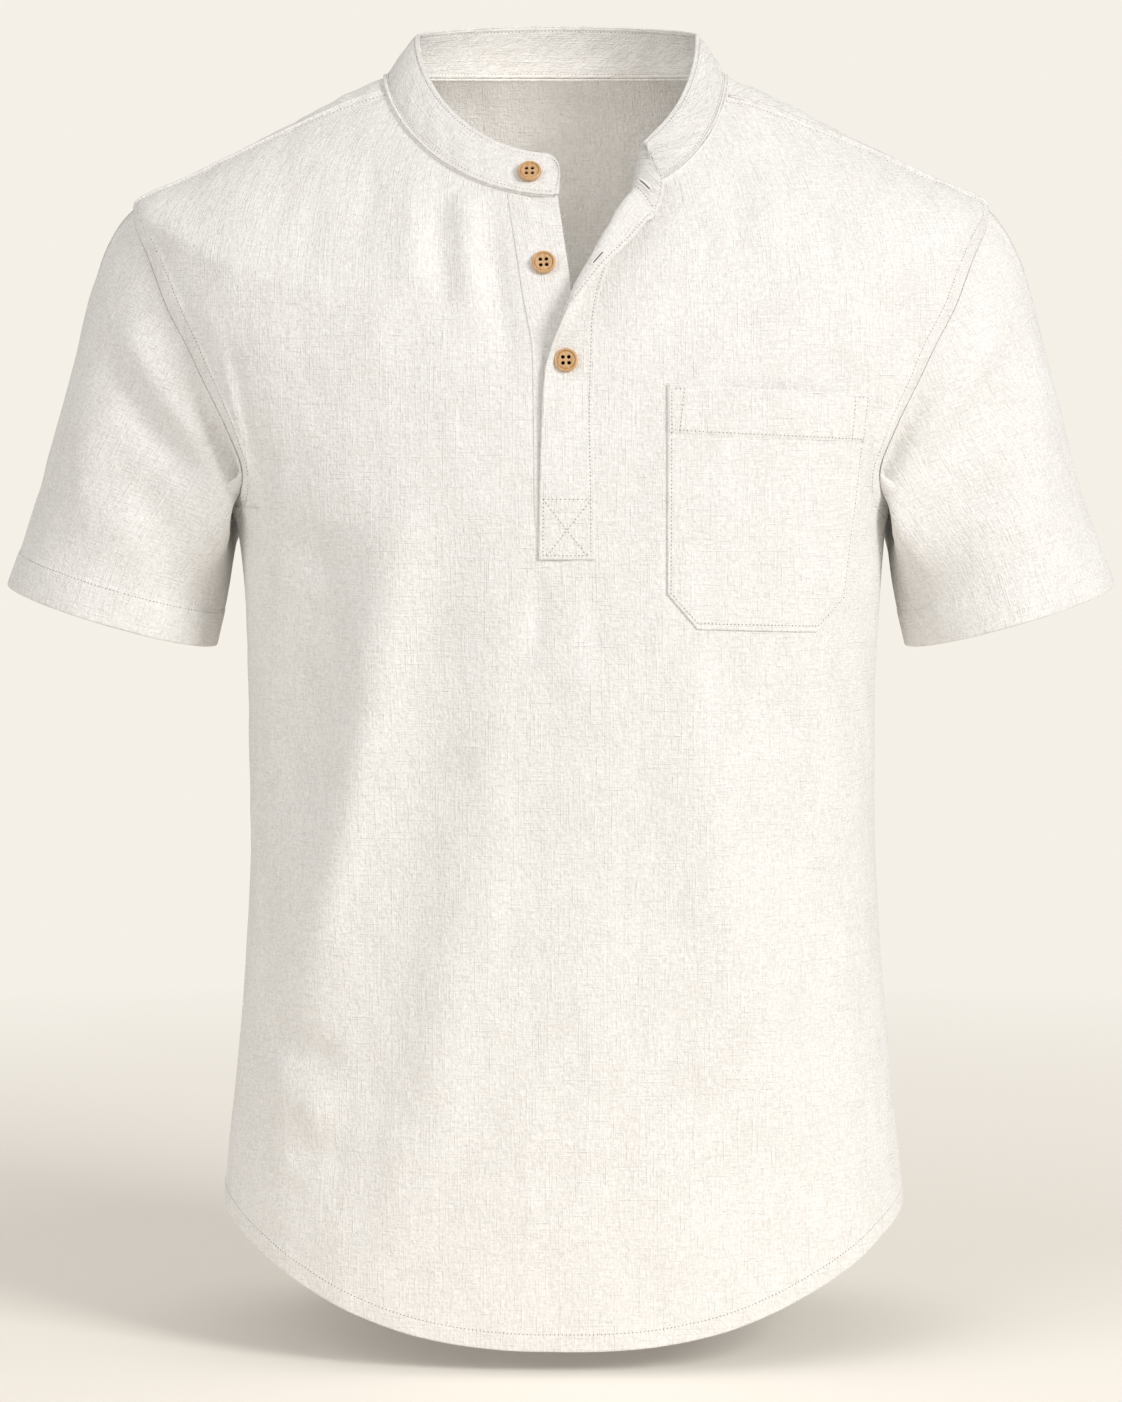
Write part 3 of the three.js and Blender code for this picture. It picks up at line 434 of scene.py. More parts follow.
@dataclass(frozen=True)
class Fold:
    """A soft ridge, or a trough where its height is less than 0, along a path.

    In millimetres. The path is given by X and Z. `left` and `right` are how far the fold
    spreads on the side of lower and of higher X, and each end fades over a share `taper`
    of its length.
    """

    path: tuple[tuple[float, float], ...]
    height: float
    left: float
    right: float
    taper: float = 0.35

    def line(self) -> Array:
        """The path in metres, with its corners rounded."""
        line = np.array(self.path, float) / MILLIMETRES
        for _ in range(3):
            cut = np.stack([mix(line[:-1], line[1:], 0.25), mix(line[:-1], line[1:], 0.75)], axis=1)
            line = np.concatenate([line[:1], cut.reshape(-1, 2), line[-1:]])
        return line

    def at(self, x: Array, z: Array) -> Array:
        """How far the fold moves the cloth outwards at these places.

        Args:
            x: The places across, in metres.
            z: Their heights.

        Returns:
            The moves, in metres, which are 0 far from the fold.
        """
        line = self.line()
        height, left, right = (size / MILLIMETRES for size in (self.height, self.left, self.right))
        reach = 2.6 * max(left, right)
        low, high = line.min(axis=0) - reach, line.max(axis=0) + reach
        near = (x > low[0]) & (x < high[0]) & (z > low[1]) & (z < high[1])
        moved = np.zeros(np.shape(x))
        if not near.any():
            return moved
        places = np.stack([x[near], z[near]], axis=-1)
        steps = np.diff(line, axis=0)
        lengths = np.linalg.norm(steps, axis=1)
        starts = travelled(line)
        best = np.full(len(places), np.inf)
        along = np.zeros(len(places))
        aside = np.zeros(len(places))
        for start, step, length, begun in zip(line, steps, lengths, starts):
            away = places - start
            share = np.clip((away @ step) / length ** 2, 0.0, 1.0)
            offset = away - share[:, None] * step
            distance = np.linalg.norm(offset, axis=1)
            closer = distance < best
            best = np.where(closer, distance, best)
            along = np.where(closer, begun + share * length, along)
            turn = (step[0] * away[:, 1] - step[1] * away[:, 0]) * -np.sign(step[1] or 1.0)
            aside = np.where(closer, np.sign(turn), aside)
        share = along / starts[-1]
        swell = ease(np.minimum(share, 1 - share) / self.taper + 0.15)
        width = np.where(aside > 0, left, right)
        moved[near] = height * swell * bell(best, width)
        return moved


@dataclass(frozen=True)
class Crinkle:
    """Uneven noise in the cloth: how wide and long its lumps are and how high."""

    wide: float
    long: float
    height: float
    seed: int
    lean: float = 0.0

    def at(self, u: Array, v: Array) -> Array:
        """The height at these places of the cloth."""
        return self.height * Grain(self.seed).at((u + self.lean * v) / self.wide, v / self.long)

    def other(self, step: int) -> "Crinkle":
        """The same kind of noise from another seed."""
        return replace(self, seed=self.seed + step)


FRONT_FOLDS = (
    # The long fall from the chest to the hem on the wearer's right: a ridge between two troughs.
    Fold(((-82, -215), (-89, -270), (-95, -312), (-105, -366), (-116, -419), (-130, -473),
          (-144, -520)), 6.4, 13, 18, 0.3),
    Fold(((-54, -240), (-63, -300), (-71, -366), (-78, -419), (-89, -473), (-98, -526), (-105, -579),
          (-109, -630)), -5.8, 23, 25, 0.3),
    Fold(((-122, -215), (-131, -290), (-141, -366), (-153, -440)), -4.8, 22, 19),
    Fold(((-158, -300), (-163, -370), (-168, -440)), 2, 12, 14),
    Fold(((-58, -450), (-66, -520), (-70, -580), (-72, -630)), 2.6, 14, 26),
    # Soft falls over the belly.
    Fold(((-28, -300), (-34, -366), (-40, -440), (-48, -530)), 2, 14, 18),
    Fold(((60, -270), (68, -312), (78, -366), (86, -419), (100, -473), (113, -526), (124, -590)), 5.8,
          14, 27),
    Fold(((126, -295), (130, -330), (143, -366), (156, -425)), 2.4, 10, 13),
    Fold(((20, -290), (22, -380), (18, -470), (22, -560)), 1.4, 18, 22),
    # Dimples low on the wearer's right.
    Fold(((-160, -518), (-142, -531), (-120, -538)), -3.4, 11, 11),
    Fold(((-164, -546), (-142, -556), (-120, -568)), 2.6, 11, 11),
    Fold(((-150, -590), (-132, -584), (-112, -592)), -2.2, 10, 10),
    Fold(((-86, -560), (-92, -610), (-88, -650)), 1.6, 13, 13),
    # Beside the armholes.
    Fold(((-160, -250), (-140, -262), (-115, -268)), -2.4, 13, 13, 0.5),
    # The cloth drawn down beside the button placket.
    Fold(((-35, -74), (-37, -98), (-32, -128), (-26, -165)), -4.4, 6, 7, 0.5),
    Fold(((-48, -62), (-51, -95), (-46, -135)), 3, 5, 7, 0.5),
    Fold(((-63, -58), (-66, -95), (-60, -140)), -2.6, 6, 6, 0.5),
    Fold(((-77, -50), (-82, -90), (-78, -135)), 1.8, 7, 8, 0.5),
    # Short draws below the shoulder seams and the placket's box.
    Fold(((-98, -40), (-104, -70), (-108, -110)), -1.6, 6, 7, 0.5),
    Fold(((-128, -60), (-136, -90), (-140, -125)), -1.3, 6, 8, 0.5),
    Fold(((86, -42), (94, -80), (98, -120)), -1.6, 6, 7, 0.5),
    Fold(((108, -48), (114, -85), (120, -125)), 1.4, 7, 7, 0.5),
    Fold(((136, -60), (142, -90), (146, -130)), -1.2, 6, 8, 0.5),
    Fold(((-10, -268), (-12, -292), (-14, -318)), -2, 6, 6, 0.5),
    Fold(((14, -268), (16, -296), (22, -330)), -1.6, 6, 7, 0.5),
)

# The front's cloth where it is drawn over the bands of the armholes.
CLOSE_FOLDS = (
    Fold(((-190, -165), (-183, -200), (-176, -232)), -2, 5, 5, 0.4),
    Fold(((-185, -140), (-178, -170), (-171, -200), (-166, -220), (-162, -250)), 2.5, 3, 26, 0.4),
    Fold(((189, -170), (182, -203), (176, -232)), -2, 5, 5, 0.4),
    Fold(((183, -140), (177, -170), (170, -200), (165, -240)), 2.6, 22, 3.4, 0.4),
)

BACK_FOLDS = (
    Fold(((-60, -180), (-66, -300), (-58, -430), (-64, -560)), -3.6, 20, 24),
    Fold(((-25, -200), (-20, -330), (-28, -470), (-22, -600)), 2.6, 20, 20),
    Fold(((22, -220), (28, -350), (18, -480), (30, -600)), -2.8, 18, 22),
    Fold(((68, -190), (74, -320), (82, -450), (78, -580)), 3, 22, 18),
    Fold(((115, -230), (122, -340), (128, -460), (134, -560)), -3.6, 18, 20),
    Fold(((-110, -240), (-118, -350), (-122, -470), (-130, -580)), 2.8, 18, 22),
    Fold(((-150, -130), (-158, -175), (-152, -220)), -2.4, 10, 12),
    Fold(((150, -125), (158, -170), (150, -225)), -2.4, 12, 10),
    Fold(((-50, -45), (-56, -90), (-52, -150)), 1.4, 12, 14, 0.5),
    Fold(((48, -40), (52, -85), (56, -140)), 1.2, 14, 12, 0.5),
)

# Uneven falls and crumples over the whole body, from broad to small.
BODY_CRINKLES = (
    Crinkle(0.05, 0.24, 0.001, 11, 0.06),
    Crinkle(0.026, 0.09, 0.0007, 12, -0.1),
    Crinkle(0.014, 0.03, 0.00036, 13, 0.15),
    Crinkle(0.0085, 0.012, 0.00022, 14, -0.2),
)


@dataclass(frozen=True)
class Drape:
    """Everything that moves the body's cloth off its form."""

    folds: tuple[Fold, ...]
    crinkles: tuple[Crinkle, ...]
    which: str
    close: tuple[Fold, ...] = ()  # folds that reach up to the armholes' seams
    seam_fade: float = 9.0       # degrees from a panel's edge over which the folds come in
    neck_fade: float = 0.012
    pucker: float = 0.0006       # the gathers that run out from the neck's seam
    pucker_turn: float = 2.3     # degrees between them
    pucker_deep: float = 0.014   # how far down they fade out
    pull_turn: float = 13.0      # degrees from the shoulder's seam over which its pulls fade out

    def height(self, level: Array, angle: Array) -> Array:
        """How far the cloth lies outside the form at these places of it.

        Args:
            level: The places' levels.
            angle: Their angles.

        Returns:
            The heights.
        """
        place = Form.point(level, angle)
        x, z = place[..., 0], place[..., 2]
        edge = np.where(level < -0.229, CALM.read("turn", level), SEAMS.edge(level, self.which))
        turned = angle if self.which == "front" else 360.0 - angle
        inside = np.minimum(turned, 180.0 - turned) - edge
        fade = ease(inside / self.seam_fade) * ease((NECK_LEVEL - level) / self.neck_fade)
        moved = sum(fold.at(x, z) for fold in self.folds)
        moved = moved + sum(crinkle.at(x, z) for crinkle in self.crinkles)
        drawn_over = sum(fold.at(x, z) for fold in self.close) * ease((inside - 0.6) / 2.2)
        below = NECK_LEVEL - level
        gathers = Grain(31 if self.which == "front" else 32).at(angle / self.pucker_turn, below / 0.05)
        drawn = ease(below / 0.003) * bell(below, self.pucker_deep)
        shoulder = ease((level - TIP_LEVEL + 0.01) / 0.01) * ease(inside / 1.5)
        pulls = Crinkle(0.0075, 0.045, 0.0009, 33, -0.35).at(x, z) * bell(inside, self.pull_turn)
        return moved * fade + drawn_over + self.pucker * gathers * drawn + pulls * shoulder


FRONT_DRAPE = Drape(FRONT_FOLDS, BODY_CRINKLES, "front", CLOSE_FOLDS)
BACK_DRAPE = Drape(BACK_FOLDS, tuple(crinkle.other(20) for crinkle in BODY_CRINKLES), "back")


def front_cloth(level: Array, angle: Array) -> tuple[Array, Array]:
    """Points on the front's cloth, moved by its folds, and the directions out of it."""
    out = Form.out(level, angle)
    return laid(Form.point(level, angle), out, FRONT_DRAPE.height(level, angle)), out


def front_at(x: Array, z: Array) -> tuple[Array, Array]:
    """The front's cloth at x and z of its form."""
    return front_cloth(*Form.front_place(x, z))


# ---- cloth grids


class Edge(Enum):
    """Kinds of edge, by how far in the grid's first lines lie beside them."""

    OPEN = (0.0,)
    PLAIN = (0.0, 0.00016, 0.0005, 0.0012)
    STITCHED = (0.0, 0.00016, 0.0005, 0.0012, 0.0017, 0.0022, 0.0027, 0.0034)
    FELLED = (0.0, 0.00016, 0.0005, 0.0012, 0.0018, 0.0024, 0.0031, 0.004, 0.006, 0.008, 0.0088,
              0.0095, 0.0102, 0.0112)


STITCH_LINE = 5                  # the grid line that a stitched edge's stitches lie on
STITCH_INSET = Edge.STITCHED.value[STITCH_LINE]


def spread(length: float, cells: int, first: Edge = Edge.PLAIN, last: Edge = Edge.PLAIN) -> Array:
    """Places from 0 to a length: even ones, with the extra ones that each edge needs."""
    ends = [length - step for step in reversed(last.value)]
    even = np.linspace(first.value[-1], ends[0], cells + 1)
    return np.concatenate([first.value[:-1], even, ends[1:]])


def with_lines(places: Array, *lines: float) -> Array:
    """Places with grid lines put exactly at some of them."""
    near = np.min([np.abs(places - line) for line in lines], axis=0) < 0.00035
    near[[0, -1]] = False
    return np.sort(np.concatenate([places[~near], lines]))


def rounded(distance: Array, half: Numbers) -> Array:
    """Half a shell's thickness beside an edge: a round edge of the shell's own radius."""
    inside = np.clip(distance / np.maximum(half, 1e-6), 0.0, 1.0)
    return half * np.sqrt(1.0 - (1.0 - inside) ** 2)


def pulled(distance: Array, line: float, dip: float = 0.00022) -> Array:
    """How far a line of stitches pulls each face in beside it."""
    return dip * bell(distance - line, 0.0007)


@dataclass
class Surface:
    """A grid of cloth: its middle's points, the ways out of them and its flat pattern."""

    points: Array
    outs: Array
    flat: Array
    half: Array | None = None

    @classmethod
    def over(cls, points: Array, outside: Triple, flat: Array, loop: bool = False) -> "Surface":
        """A surface whose outward directions come from its own points.

        Args:
            points: Rows and columns of points.
            outside: A direction that the first point's outside looks along.
            flat: The pattern's coordinates of the points.
            loop: Whether the last column is the first again.

        Returns:
            The surface.
        """
        around = np.concatenate([points[:, -2:-1], points, points[:, 1:2]], axis=1) if loop else points
        along_row = np.gradient(around, axis=1)
        along_row = along_row[:, 1:-1] if loop else along_row
        outs = unit(np.cross(along_row, np.gradient(points, axis=0)))
        middle = tuple(size // 2 for size in outs.shape[:2])
        if outs[middle] @ np.asarray(outside, float) < 0:
            outs = -outs
        return cls(points, outs, flat)

    def from_edges(self) -> Array:
        """Distances from the grid's four edges, measured along its lines."""
        left, low = travelled(self.points, 1), travelled(self.points)
        return np.min([left, left[:, -1:] - left, low, low[-1:] - low], axis=0)

    def trace(self, rows: Numbers, columns: Numbers, side: float = 1.0) -> tuple[Array, Array]:
        """Points of the outer face, or of the inner one where side is -1, and the ways out.

        Args:
            rows: Places up the grid, counted in rows, with parts of rows.
            columns: Places across it.
            side: 1 for the outer face, -1 for the inner one.

        Returns:
            The points and the ways out of that face.
        """
        rows, columns = np.broadcast_arrays(np.asarray(rows, float), np.asarray(columns, float))
        i = np.clip(rows.astype(int), 0, self.points.shape[0] - 2)
        j = np.clip(columns.astype(int), 0, self.points.shape[1] - 2)
        up, across = (rows - i)[..., None], (columns - j)[..., None]
        face = laid(self.points, self.outs, side * self.half)

        def read(grid: Array) -> Array:
            """The grid's values between its places."""
            low = mix(grid[i, j], grid[i, j + 1], across)
            return mix(low, mix(grid[i + 1, j], grid[i + 1, j + 1], across), up)

        return read(face), side * unit(read(self.outs))

    def last(self) -> tuple[int, int]:
        """The numbers of the grid's last row and column."""
        return self.points.shape[0] - 1, self.points.shape[1] - 1

    def nearest(self, x: float, z: float, columns: slice) -> tuple[int, int]:
        """The grid place nearest to an x and z among some columns.

        Args:
            x: Where it is across.
            z: How high it is.
            columns: The columns to look in.

        Returns:
            The row and the column.
        """
        part = self.points[:, columns]
        gap = (part[..., 0] - x) ** 2 + (part[..., 2] - z) ** 2
        row, column = np.unravel_index(gap.argmin(), gap.shape)
        return int(row), int(column) + (columns.start or 0)


def linked(name: str, data: bpy.types.ID) -> Piece:
    """A new object in the scene, for a mesh, a light or a camera."""
    made = bpy.data.objects.new(name, data)
    bpy.context.scene.collection.objects.link(made)
    return made


def modelled(name: str, bm: bmesh.types.BMesh) -> Piece:
    """Turns a finished bmesh into an object in the scene."""
    mesh = bpy.data.meshes.new(name)
    bm.to_mesh(mesh)
    bm.free()
    return linked(name, mesh)


class Cloth:
    """Makes closed shells of cloth from surfaces."""

    WELD = 1e-6

    @classmethod
    def grid(cls, surface: Surface, side: float, kept: Array | None) -> bmesh.types.BMesh:
        """One face of a shell, with only the kept cells.

        Args:
            surface: The shell's middle.
            side: 1 for the outer face, -1 for the inner one.
            kept: Which cells there are, or all of them.

        Returns:
            The face, with its flat pattern as a UV map.
        """
        rows, columns = surface.points.shape[:2]
        bm = bmesh.new()
        bmesh.ops.create_grid(bm, x_segments=columns - 1, y_segments=rows - 1, size=0.5)
        places = laid(surface.points, surface.outs, side * surface.half).reshape(-1, 3)
        flat = surface.flat.reshape(-1, 2).tolist()
        pattern = bm.loops.layers.uv.new("pattern")
        bm.verts.index_update()
        dropped = []
        for face in bm.faces:
            for loop in face.loops:
                loop[pattern].uv = flat[loop.vert.index]
            first = min(loop.vert.index for loop in face.loops)
            if kept is not None and not kept[divmod(first, columns)]:
                dropped.append(face)
        for vert, place in zip(bm.verts, places):
            vert.co = place
        if dropped:
            bmesh.ops.delete(bm, geom=dropped, context="FACES")
        return bm

    @classmethod
    def shell(cls, name: str, surface: Surface, kept: Array | None = None) -> Piece:
        """A closed shell round a surface, whose two faces meet at its edges.

        Args:
            name: The piece's name.
            surface: The shell's middle, with half its thickness at each point.
            kept: Which cells of the grid there are, or all of them.

        Returns:
            The piece, smooth shaded and linked, with no material yet.
        """
        outer = cls.grid(surface, 1.0, kept)
        inner = cls.grid(surface, -1.0, kept)
        middle = outer.faces[:][len(outer.faces) // 2]
        middle.normal_update()
        centre = np.array(middle.calc_center_median())
        nearest = np.linalg.norm(surface.points - centre, axis=-1).argmin()
        looks_out = middle.normal.dot(Vector(surface.outs.reshape(-1, 3)[nearest])) > 0
        turned = inner if looks_out else outer
        bmesh.ops.reverse_faces(turned, faces=turned.faces[:])
        mesh = bpy.data.meshes.new(name)
        inner.to_mesh(mesh)
        outer.from_mesh(mesh)
        inner.free()
        bmesh.ops.remove_doubles(outer, verts=outer.verts[:], dist=cls.WELD)
        for face in outer.faces:
            face.smooth = True
        outer.to_mesh(mesh)
        outer.free()
        return linked(name, mesh)


class Feeler:
    """Finds the outside of a finished piece."""

    REACH = 0.006

    def __init__(self, piece: Piece) -> None:
        """Takes a finished shell."""
        corners = [vert.co.copy() for vert in piece.data.vertices]
        faces = [tuple(face.vertices) for face in piece.data.polygons]
        self.tree = BVHTree.FromPolygons(corners, faces)

    def lay(self, points: Array, outs: Array) -> Line:
        """The places of the piece's outside under some points, and its normals.

        Args:
            points: Points near the piece's outside.
            outs: The ways out of it.

        Returns:
            The places that were found, and the piece's normals there.
        """
        laid, normals = [], []
        for point, out in zip(points, outs):
            start, way = Vector(point) + self.REACH * Vector(out), -Vector(out)
            hit, normal, _, _ = self.tree.ray_cast(start, way, 2 * self.REACH)
            if hit is not None and normal.dot(way) < 0:
                laid.append(hit)
                normals.append(normal)
        return np.array(laid).reshape(-1, 3), np.array(normals).reshape(-1, 3)


# ---- finishes


class Shader:
    """A material's node tree, built by short calls."""

    def __init__(self, name: str) -> None:
        """Starts a material with its Principled shader."""
        self.material = bpy.data.materials.new(name)
        self.material.use_nodes = True
        self.tree = self.material.node_tree
        self.surface = self.tree.nodes["Principled BSDF"]

    def add(self, kind: str, settings: dict | None = None, **inputs: object) -> bpy.types.Node:
        """A node with its settings and its inputs' values, or the sockets that feed them.

        Args:
            kind: Blender's name for the node.
            settings: What is set on the node itself.
            inputs: Its inputs, with `_` for each space, or as `at_` and a number.

        Returns:
            The node.
        """
        node = self.tree.nodes.new(kind)
        for key, value in (settings or {}).items():
            setattr(node, key, value)
        self.feed(node, inputs)
        return node

    def feed(self, node: bpy.types.Node, inputs: dict[str, object]) -> None:
        """Sets or links a node's inputs, with `_` in their names for each space."""
        for key, value in inputs.items():
            self.put(node, key.replace("_", " "), value)

    def finish(self, **inputs: object) -> Material:
        """Sets or links the Principled shader's inputs, and gives the material."""
        self.feed(self.surface, inputs)
        return self.material

    def put(self, node: bpy.types.Node, name: str, value: object) -> None:
        """Sets or links one input, by its name or, after `at`, its number."""
        socket = node.inputs[int(name[3:])] if name.startswith("at ") else node.inputs[name]
        if isinstance(value, Socket):
            self.tree.links.new(value, socket)
        else:
            socket.default_value = value

    def pattern(self, across: float, up: float, shift: float = 0.0) -> Socket:
        """The cloth's flat pattern, scaled so that noise of scale 1 has lumps 1/across wide."""
        place = self.add("ShaderNodeUVMap", {"uv_map": "pattern"})
        mapping = self.add("ShaderNodeMapping", Vector=place.outputs["UV"],
                           Location=(shift, shift, shift), Scale=(across, up, 1.0))
        return mapping.outputs["Vector"]

    def noise(self, place: Socket, detail: float = 2.0, roughness: float = 0.5,
              distortion: float = 0.0) -> Socket:
        """Noise of scale 1 over a place."""
        node = self.add("ShaderNodeTexNoise", {"noise_dimensions": "2D"}, Vector=place, Scale=1.0,
                        Detail=detail, Roughness=roughness, Distortion=distortion)
        return node.outputs["Fac"]

    def ramp(self, value: Socket, low: float, high: float, bottom: float = 0.0,
             top: float = 1.0) -> Socket:
        """Takes low to high over to bottom to top, held outside them."""
        node = self.add("ShaderNodeMapRange", {"clamp": True}, Value=value, From_Min=low, From_Max=high,
                        To_Min=bottom, To_Max=top)
        return node.outputs["Result"]

    def sum(self, *terms: tuple[Socket, float]) -> Socket:
        """The sum of some values, each times its weight."""
        total = 0.0
        for value, weight in terms:
            total = self.add("ShaderNodeMath", {"operation": "MULTIPLY_ADD"}, at_0=value, at_1=weight,
                             at_2=total).outputs[0]
        return total

    def blend(self, share: Socket, first: tuple | Socket,
              second: tuple | Socket) -> Socket:
        """A colour between two by a share."""
        both = [colour if isinstance(colour, Socket) else (*colour, 1.0) for colour in (first, second)]
        node = self.add("ShaderNodeMix", {"data_type": "RGBA"}, at_0=share, at_6=both[0], at_7=both[1])
        return node.outputs[2]

    def bump(self, height: Socket, distance: float, strength: float = 1.0,
             under: Socket | None = None) -> Socket:
        """A normal bent by a height, over another one."""
        below = {} if under is None else {"Normal": under}
        node = self.add("ShaderNodeBump", Height=height, Distance=distance, Strength=strength, **below)
        return node.outputs["Normal"]

    def solid(self, scale: Triple, turn: Triple = (0.0, 0.0, 0.0), **inputs: float) -> Socket:
        """Noise through the whole piece, by its Object coordinates, with lumps 1/scale wide."""
        place = self.add("ShaderNodeTexCoord").outputs["Object"]
        turned = self.add("ShaderNodeMapping", Vector=place, Rotation=turn, Scale=scale)
        node = self.add("ShaderNodeTexNoise", Vector=turned.outputs["Vector"], Scale=1.0, **inputs)
        return node.outputs["Fac"]


@dataclass(frozen=True)
class LinenFinish:
    """Slub linen in a plain weave: uneven threads, slubs, and a crinkled, matt face."""

    name: str = "slub_linen"
    pale: Triple = (0.93, 0.917, 0.9)
    deep: Triple = (0.8, 0.776, 0.74)
    slub: Triple = (0.975, 0.968, 0.95)
    thread: float = 0.00075      # from one thread to the next
    crinkle: float = 1.0         # how strongly the cloth is crinkled

    def material(self) -> Material:
        """Builds the material."""
        shader = Shader(self.name)
        warp = shader.noise(shader.pattern(1 / self.thread, 1 / 0.005), 1.0, 0.6)
        weft = shader.noise(shader.pattern(1 / 0.005, 1 / self.thread, 7.0), 1.0, 0.6)
        slubs_up = shader.noise(shader.pattern(1 / 0.001, 1 / 0.042, 3.0), 2.0, 0.5)
        slubs_across = shader.noise(shader.pattern(1 / 0.032, 1 / 0.001, 5.0), 2.0, 0.5)
        streak = shader.ramp(slubs_up, 0.54, 0.72)
        bar = shader.ramp(slubs_across, 0.56, 0.74)
        crepe = shader.noise(shader.pattern(1 / 0.0016, 1 / 0.002, 2.0), 2.0, 0.5, 0.25)
        folds = shader.noise(shader.pattern(1 / 0.0055, 1 / 0.011, 4.0), 2.0, 0.5, 0.3)
        cloudy = shader.noise(shader.pattern(1 / 0.02, 1 / 0.035, 6.0), 3.0, 0.5)

        threads = shader.sum((warp, 0.5), (weft, 0.5))
        tone = shader.sum((threads, 0.55), (crepe, 0.3), (cloudy, 0.15))
        ground = shader.blend(shader.ramp(tone, 0.4, 0.59), self.deep, self.pale)
        slubbed = shader.blend(shader.sum((streak, 0.6), (bar, 0.5)), ground, self.slub)

        rough = shader.bump(folds, 0.0006 * self.crinkle, 0.8)
        creped = shader.bump(crepe, 0.0005 * self.crinkle, 0.9, rough)
        heights = shader.sum((threads, 1.0), (streak, 0.5), (bar, 0.45))
        woven = shader.bump(heights, 0.00042, 0.9, creped)
        return shader.finish(Base_Color=slubbed, Normal=woven, Roughness=0.88, Specular_IOR_Level=0.25,
                             Sheen_Weight=0.12, Sheen_Roughness=0.45)


@dataclass(frozen=True)
class ThreadFinish:
    """Sewing thread: a fine twist in the cloth's own colour."""

    name: str = "sewing_thread"
    colour: Triple = (0.9, 0.875, 0.83)
    shade: Triple = (0.78, 0.745, 0.69)
    twist: float = 0.00035

    def material(self) -> Material:
        """Builds the material."""
        shader = Shader(self.name)
        ply = shader.solid((1 / self.twist,) * 3, Detail=1.0)
        colour = shader.blend(shader.ramp(ply, 0.35, 0.65), self.shade, self.colour)
        return shader.finish(Base_Color=colour, Normal=shader.bump(ply, 0.00008), Roughness=0.6,
                             Sheen_Weight=0.2)


@dataclass(frozen=True)
class WoodFinish:
    """Turned tan wood with a satin oil finish: fine grain with darker pores."""

    name: str = "button_wood"
    light: Triple = (0.74, 0.48, 0.245)
    dark: Triple = (0.53, 0.31, 0.14)
    pore: Triple = (0.33, 0.17, 0.07)
    lie: Triple = (0.0, 0.5, 0.35)   # how the grain is turned

    def material(self) -> Material:
        """Builds the material."""
        shader = Shader(self.name)
        grain = shader.solid((900.0, 900.0, 130.0), self.lie, Detail=4.0, Roughness=0.6, Distortion=0.5)
        pores = shader.solid((4200.0, 4200.0, 500.0), self.lie, Detail=2.0)
        wood = shader.blend(shader.ramp(grain, 0.34, 0.66), self.dark, self.light)
        pored = shader.blend(shader.ramp(pores, 0.62, 0.72), wood, self.pore)
        normal = shader.bump(shader.sum((grain, 0.5), (pores, -0.5)), 0.00006)
        return shader.finish(Base_Color=pored, Normal=normal, Coat_Weight=0.15, Coat_Roughness=0.3,
                             Roughness=shader.ramp(grain, 0.3, 0.7, 0.42, 0.3))


@dataclass(frozen=True)
class HoleShadeFinish:
    """Painted shade: a dark colour that stands in for the shade inside a needle's hole, a slit or a
    button's hole.
    """

    name: str = "painted_hole_shade"
    colour: Triple = (0.2, 0.17, 0.135)

    def material(self) -> Material:
        """Builds the material."""
        return Shader(self.name).finish(Base_Color=(*self.colour, 1.0), Roughness=0.95,
                                        Specular_IOR_Level=0.0)


class Wardrobe:
    """The finishes, made once and shared by the pieces."""

    def __init__(self) -> None:
        """Makes them all."""
        self.linen = LinenFinish().material()
        self.thread = ThreadFinish().material()
        self.silk = ThreadFinish("pale_thread", (0.97, 0.96, 0.935), (0.9, 0.885, 0.85)).material()
        self.wood = WoodFinish().material()
        # Painted shade: dark for the needle holes and the slits, near-black for the buttons' holes.
        self.hole = HoleShadeFinish().material()
        self.bore_shade = HoleShadeFinish("bore_shade", (0.01, 0.006, 0.003)).material()

    def sewing(self, kind: "StitchKind | None" = None) -> "Thread":
        """A thread for stitches of this kind, or for topstitching."""
        return Thread(self.silk if kind is SATIN else self.thread, self.hole, kind or TOPSTITCH)


class Slot(Enum):
    """The record's material slots."""

    LINEN = "linen"
    WOOD = "button_wood"


def dress(piece: Piece, material: Material, slot: Slot, *nodes: str) -> Piece:
    """Gives a piece its finish and its place in the frame.

    Args:
        piece: The finished piece.
        material: What it is made of.
        slot: The record's slot for it; not used.
        nodes: The frame's nodes that it stands for.

    Returns:
        The same piece.
    """
    piece.data.materials.clear()
    piece.data.materials.append(material)
    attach(piece, "root")
    if nodes:
        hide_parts(*nodes)
    log.info("%s: %d faces", piece.name, len(piece.data.polygons))
    return piece


# ---- sewing


@dataclass(frozen=True)
class StitchKind:
    """The size of one stitch, the space from one to the next, and the flat dark bead of painted shade
    that stands for each needle hole.
    """

    length: float = 0.0015
    pitch: float = 0.0021
    radius: float = 0.00017
    proud: float = 0.00002
    hole: float = 0.00034
    across: bool = False         # whether the stitches lie across their line


TOPSTITCH = StitchKind()
SATIN = StitchKind(0.0013, 0.00036, 0.00024, 0.0002, 0.0, True)


def resampled(points: Array, outs: Array, pitch: float) -> Line:
    """A line of points and outward ways, at an even pitch along it.

    Args:
        points: The line's points.
        outs: The ways out of the cloth there.
        pitch: About how far apart the new points are.

    Returns:
        The new points and ways.
    """
    along = travelled(points)
    count = max(int(along[-1] / pitch), 1)
    at = (np.arange(count) + 0.5) * along[-1] / count
    return read_along(points, along, at), unit(read_along(outs, along, at))


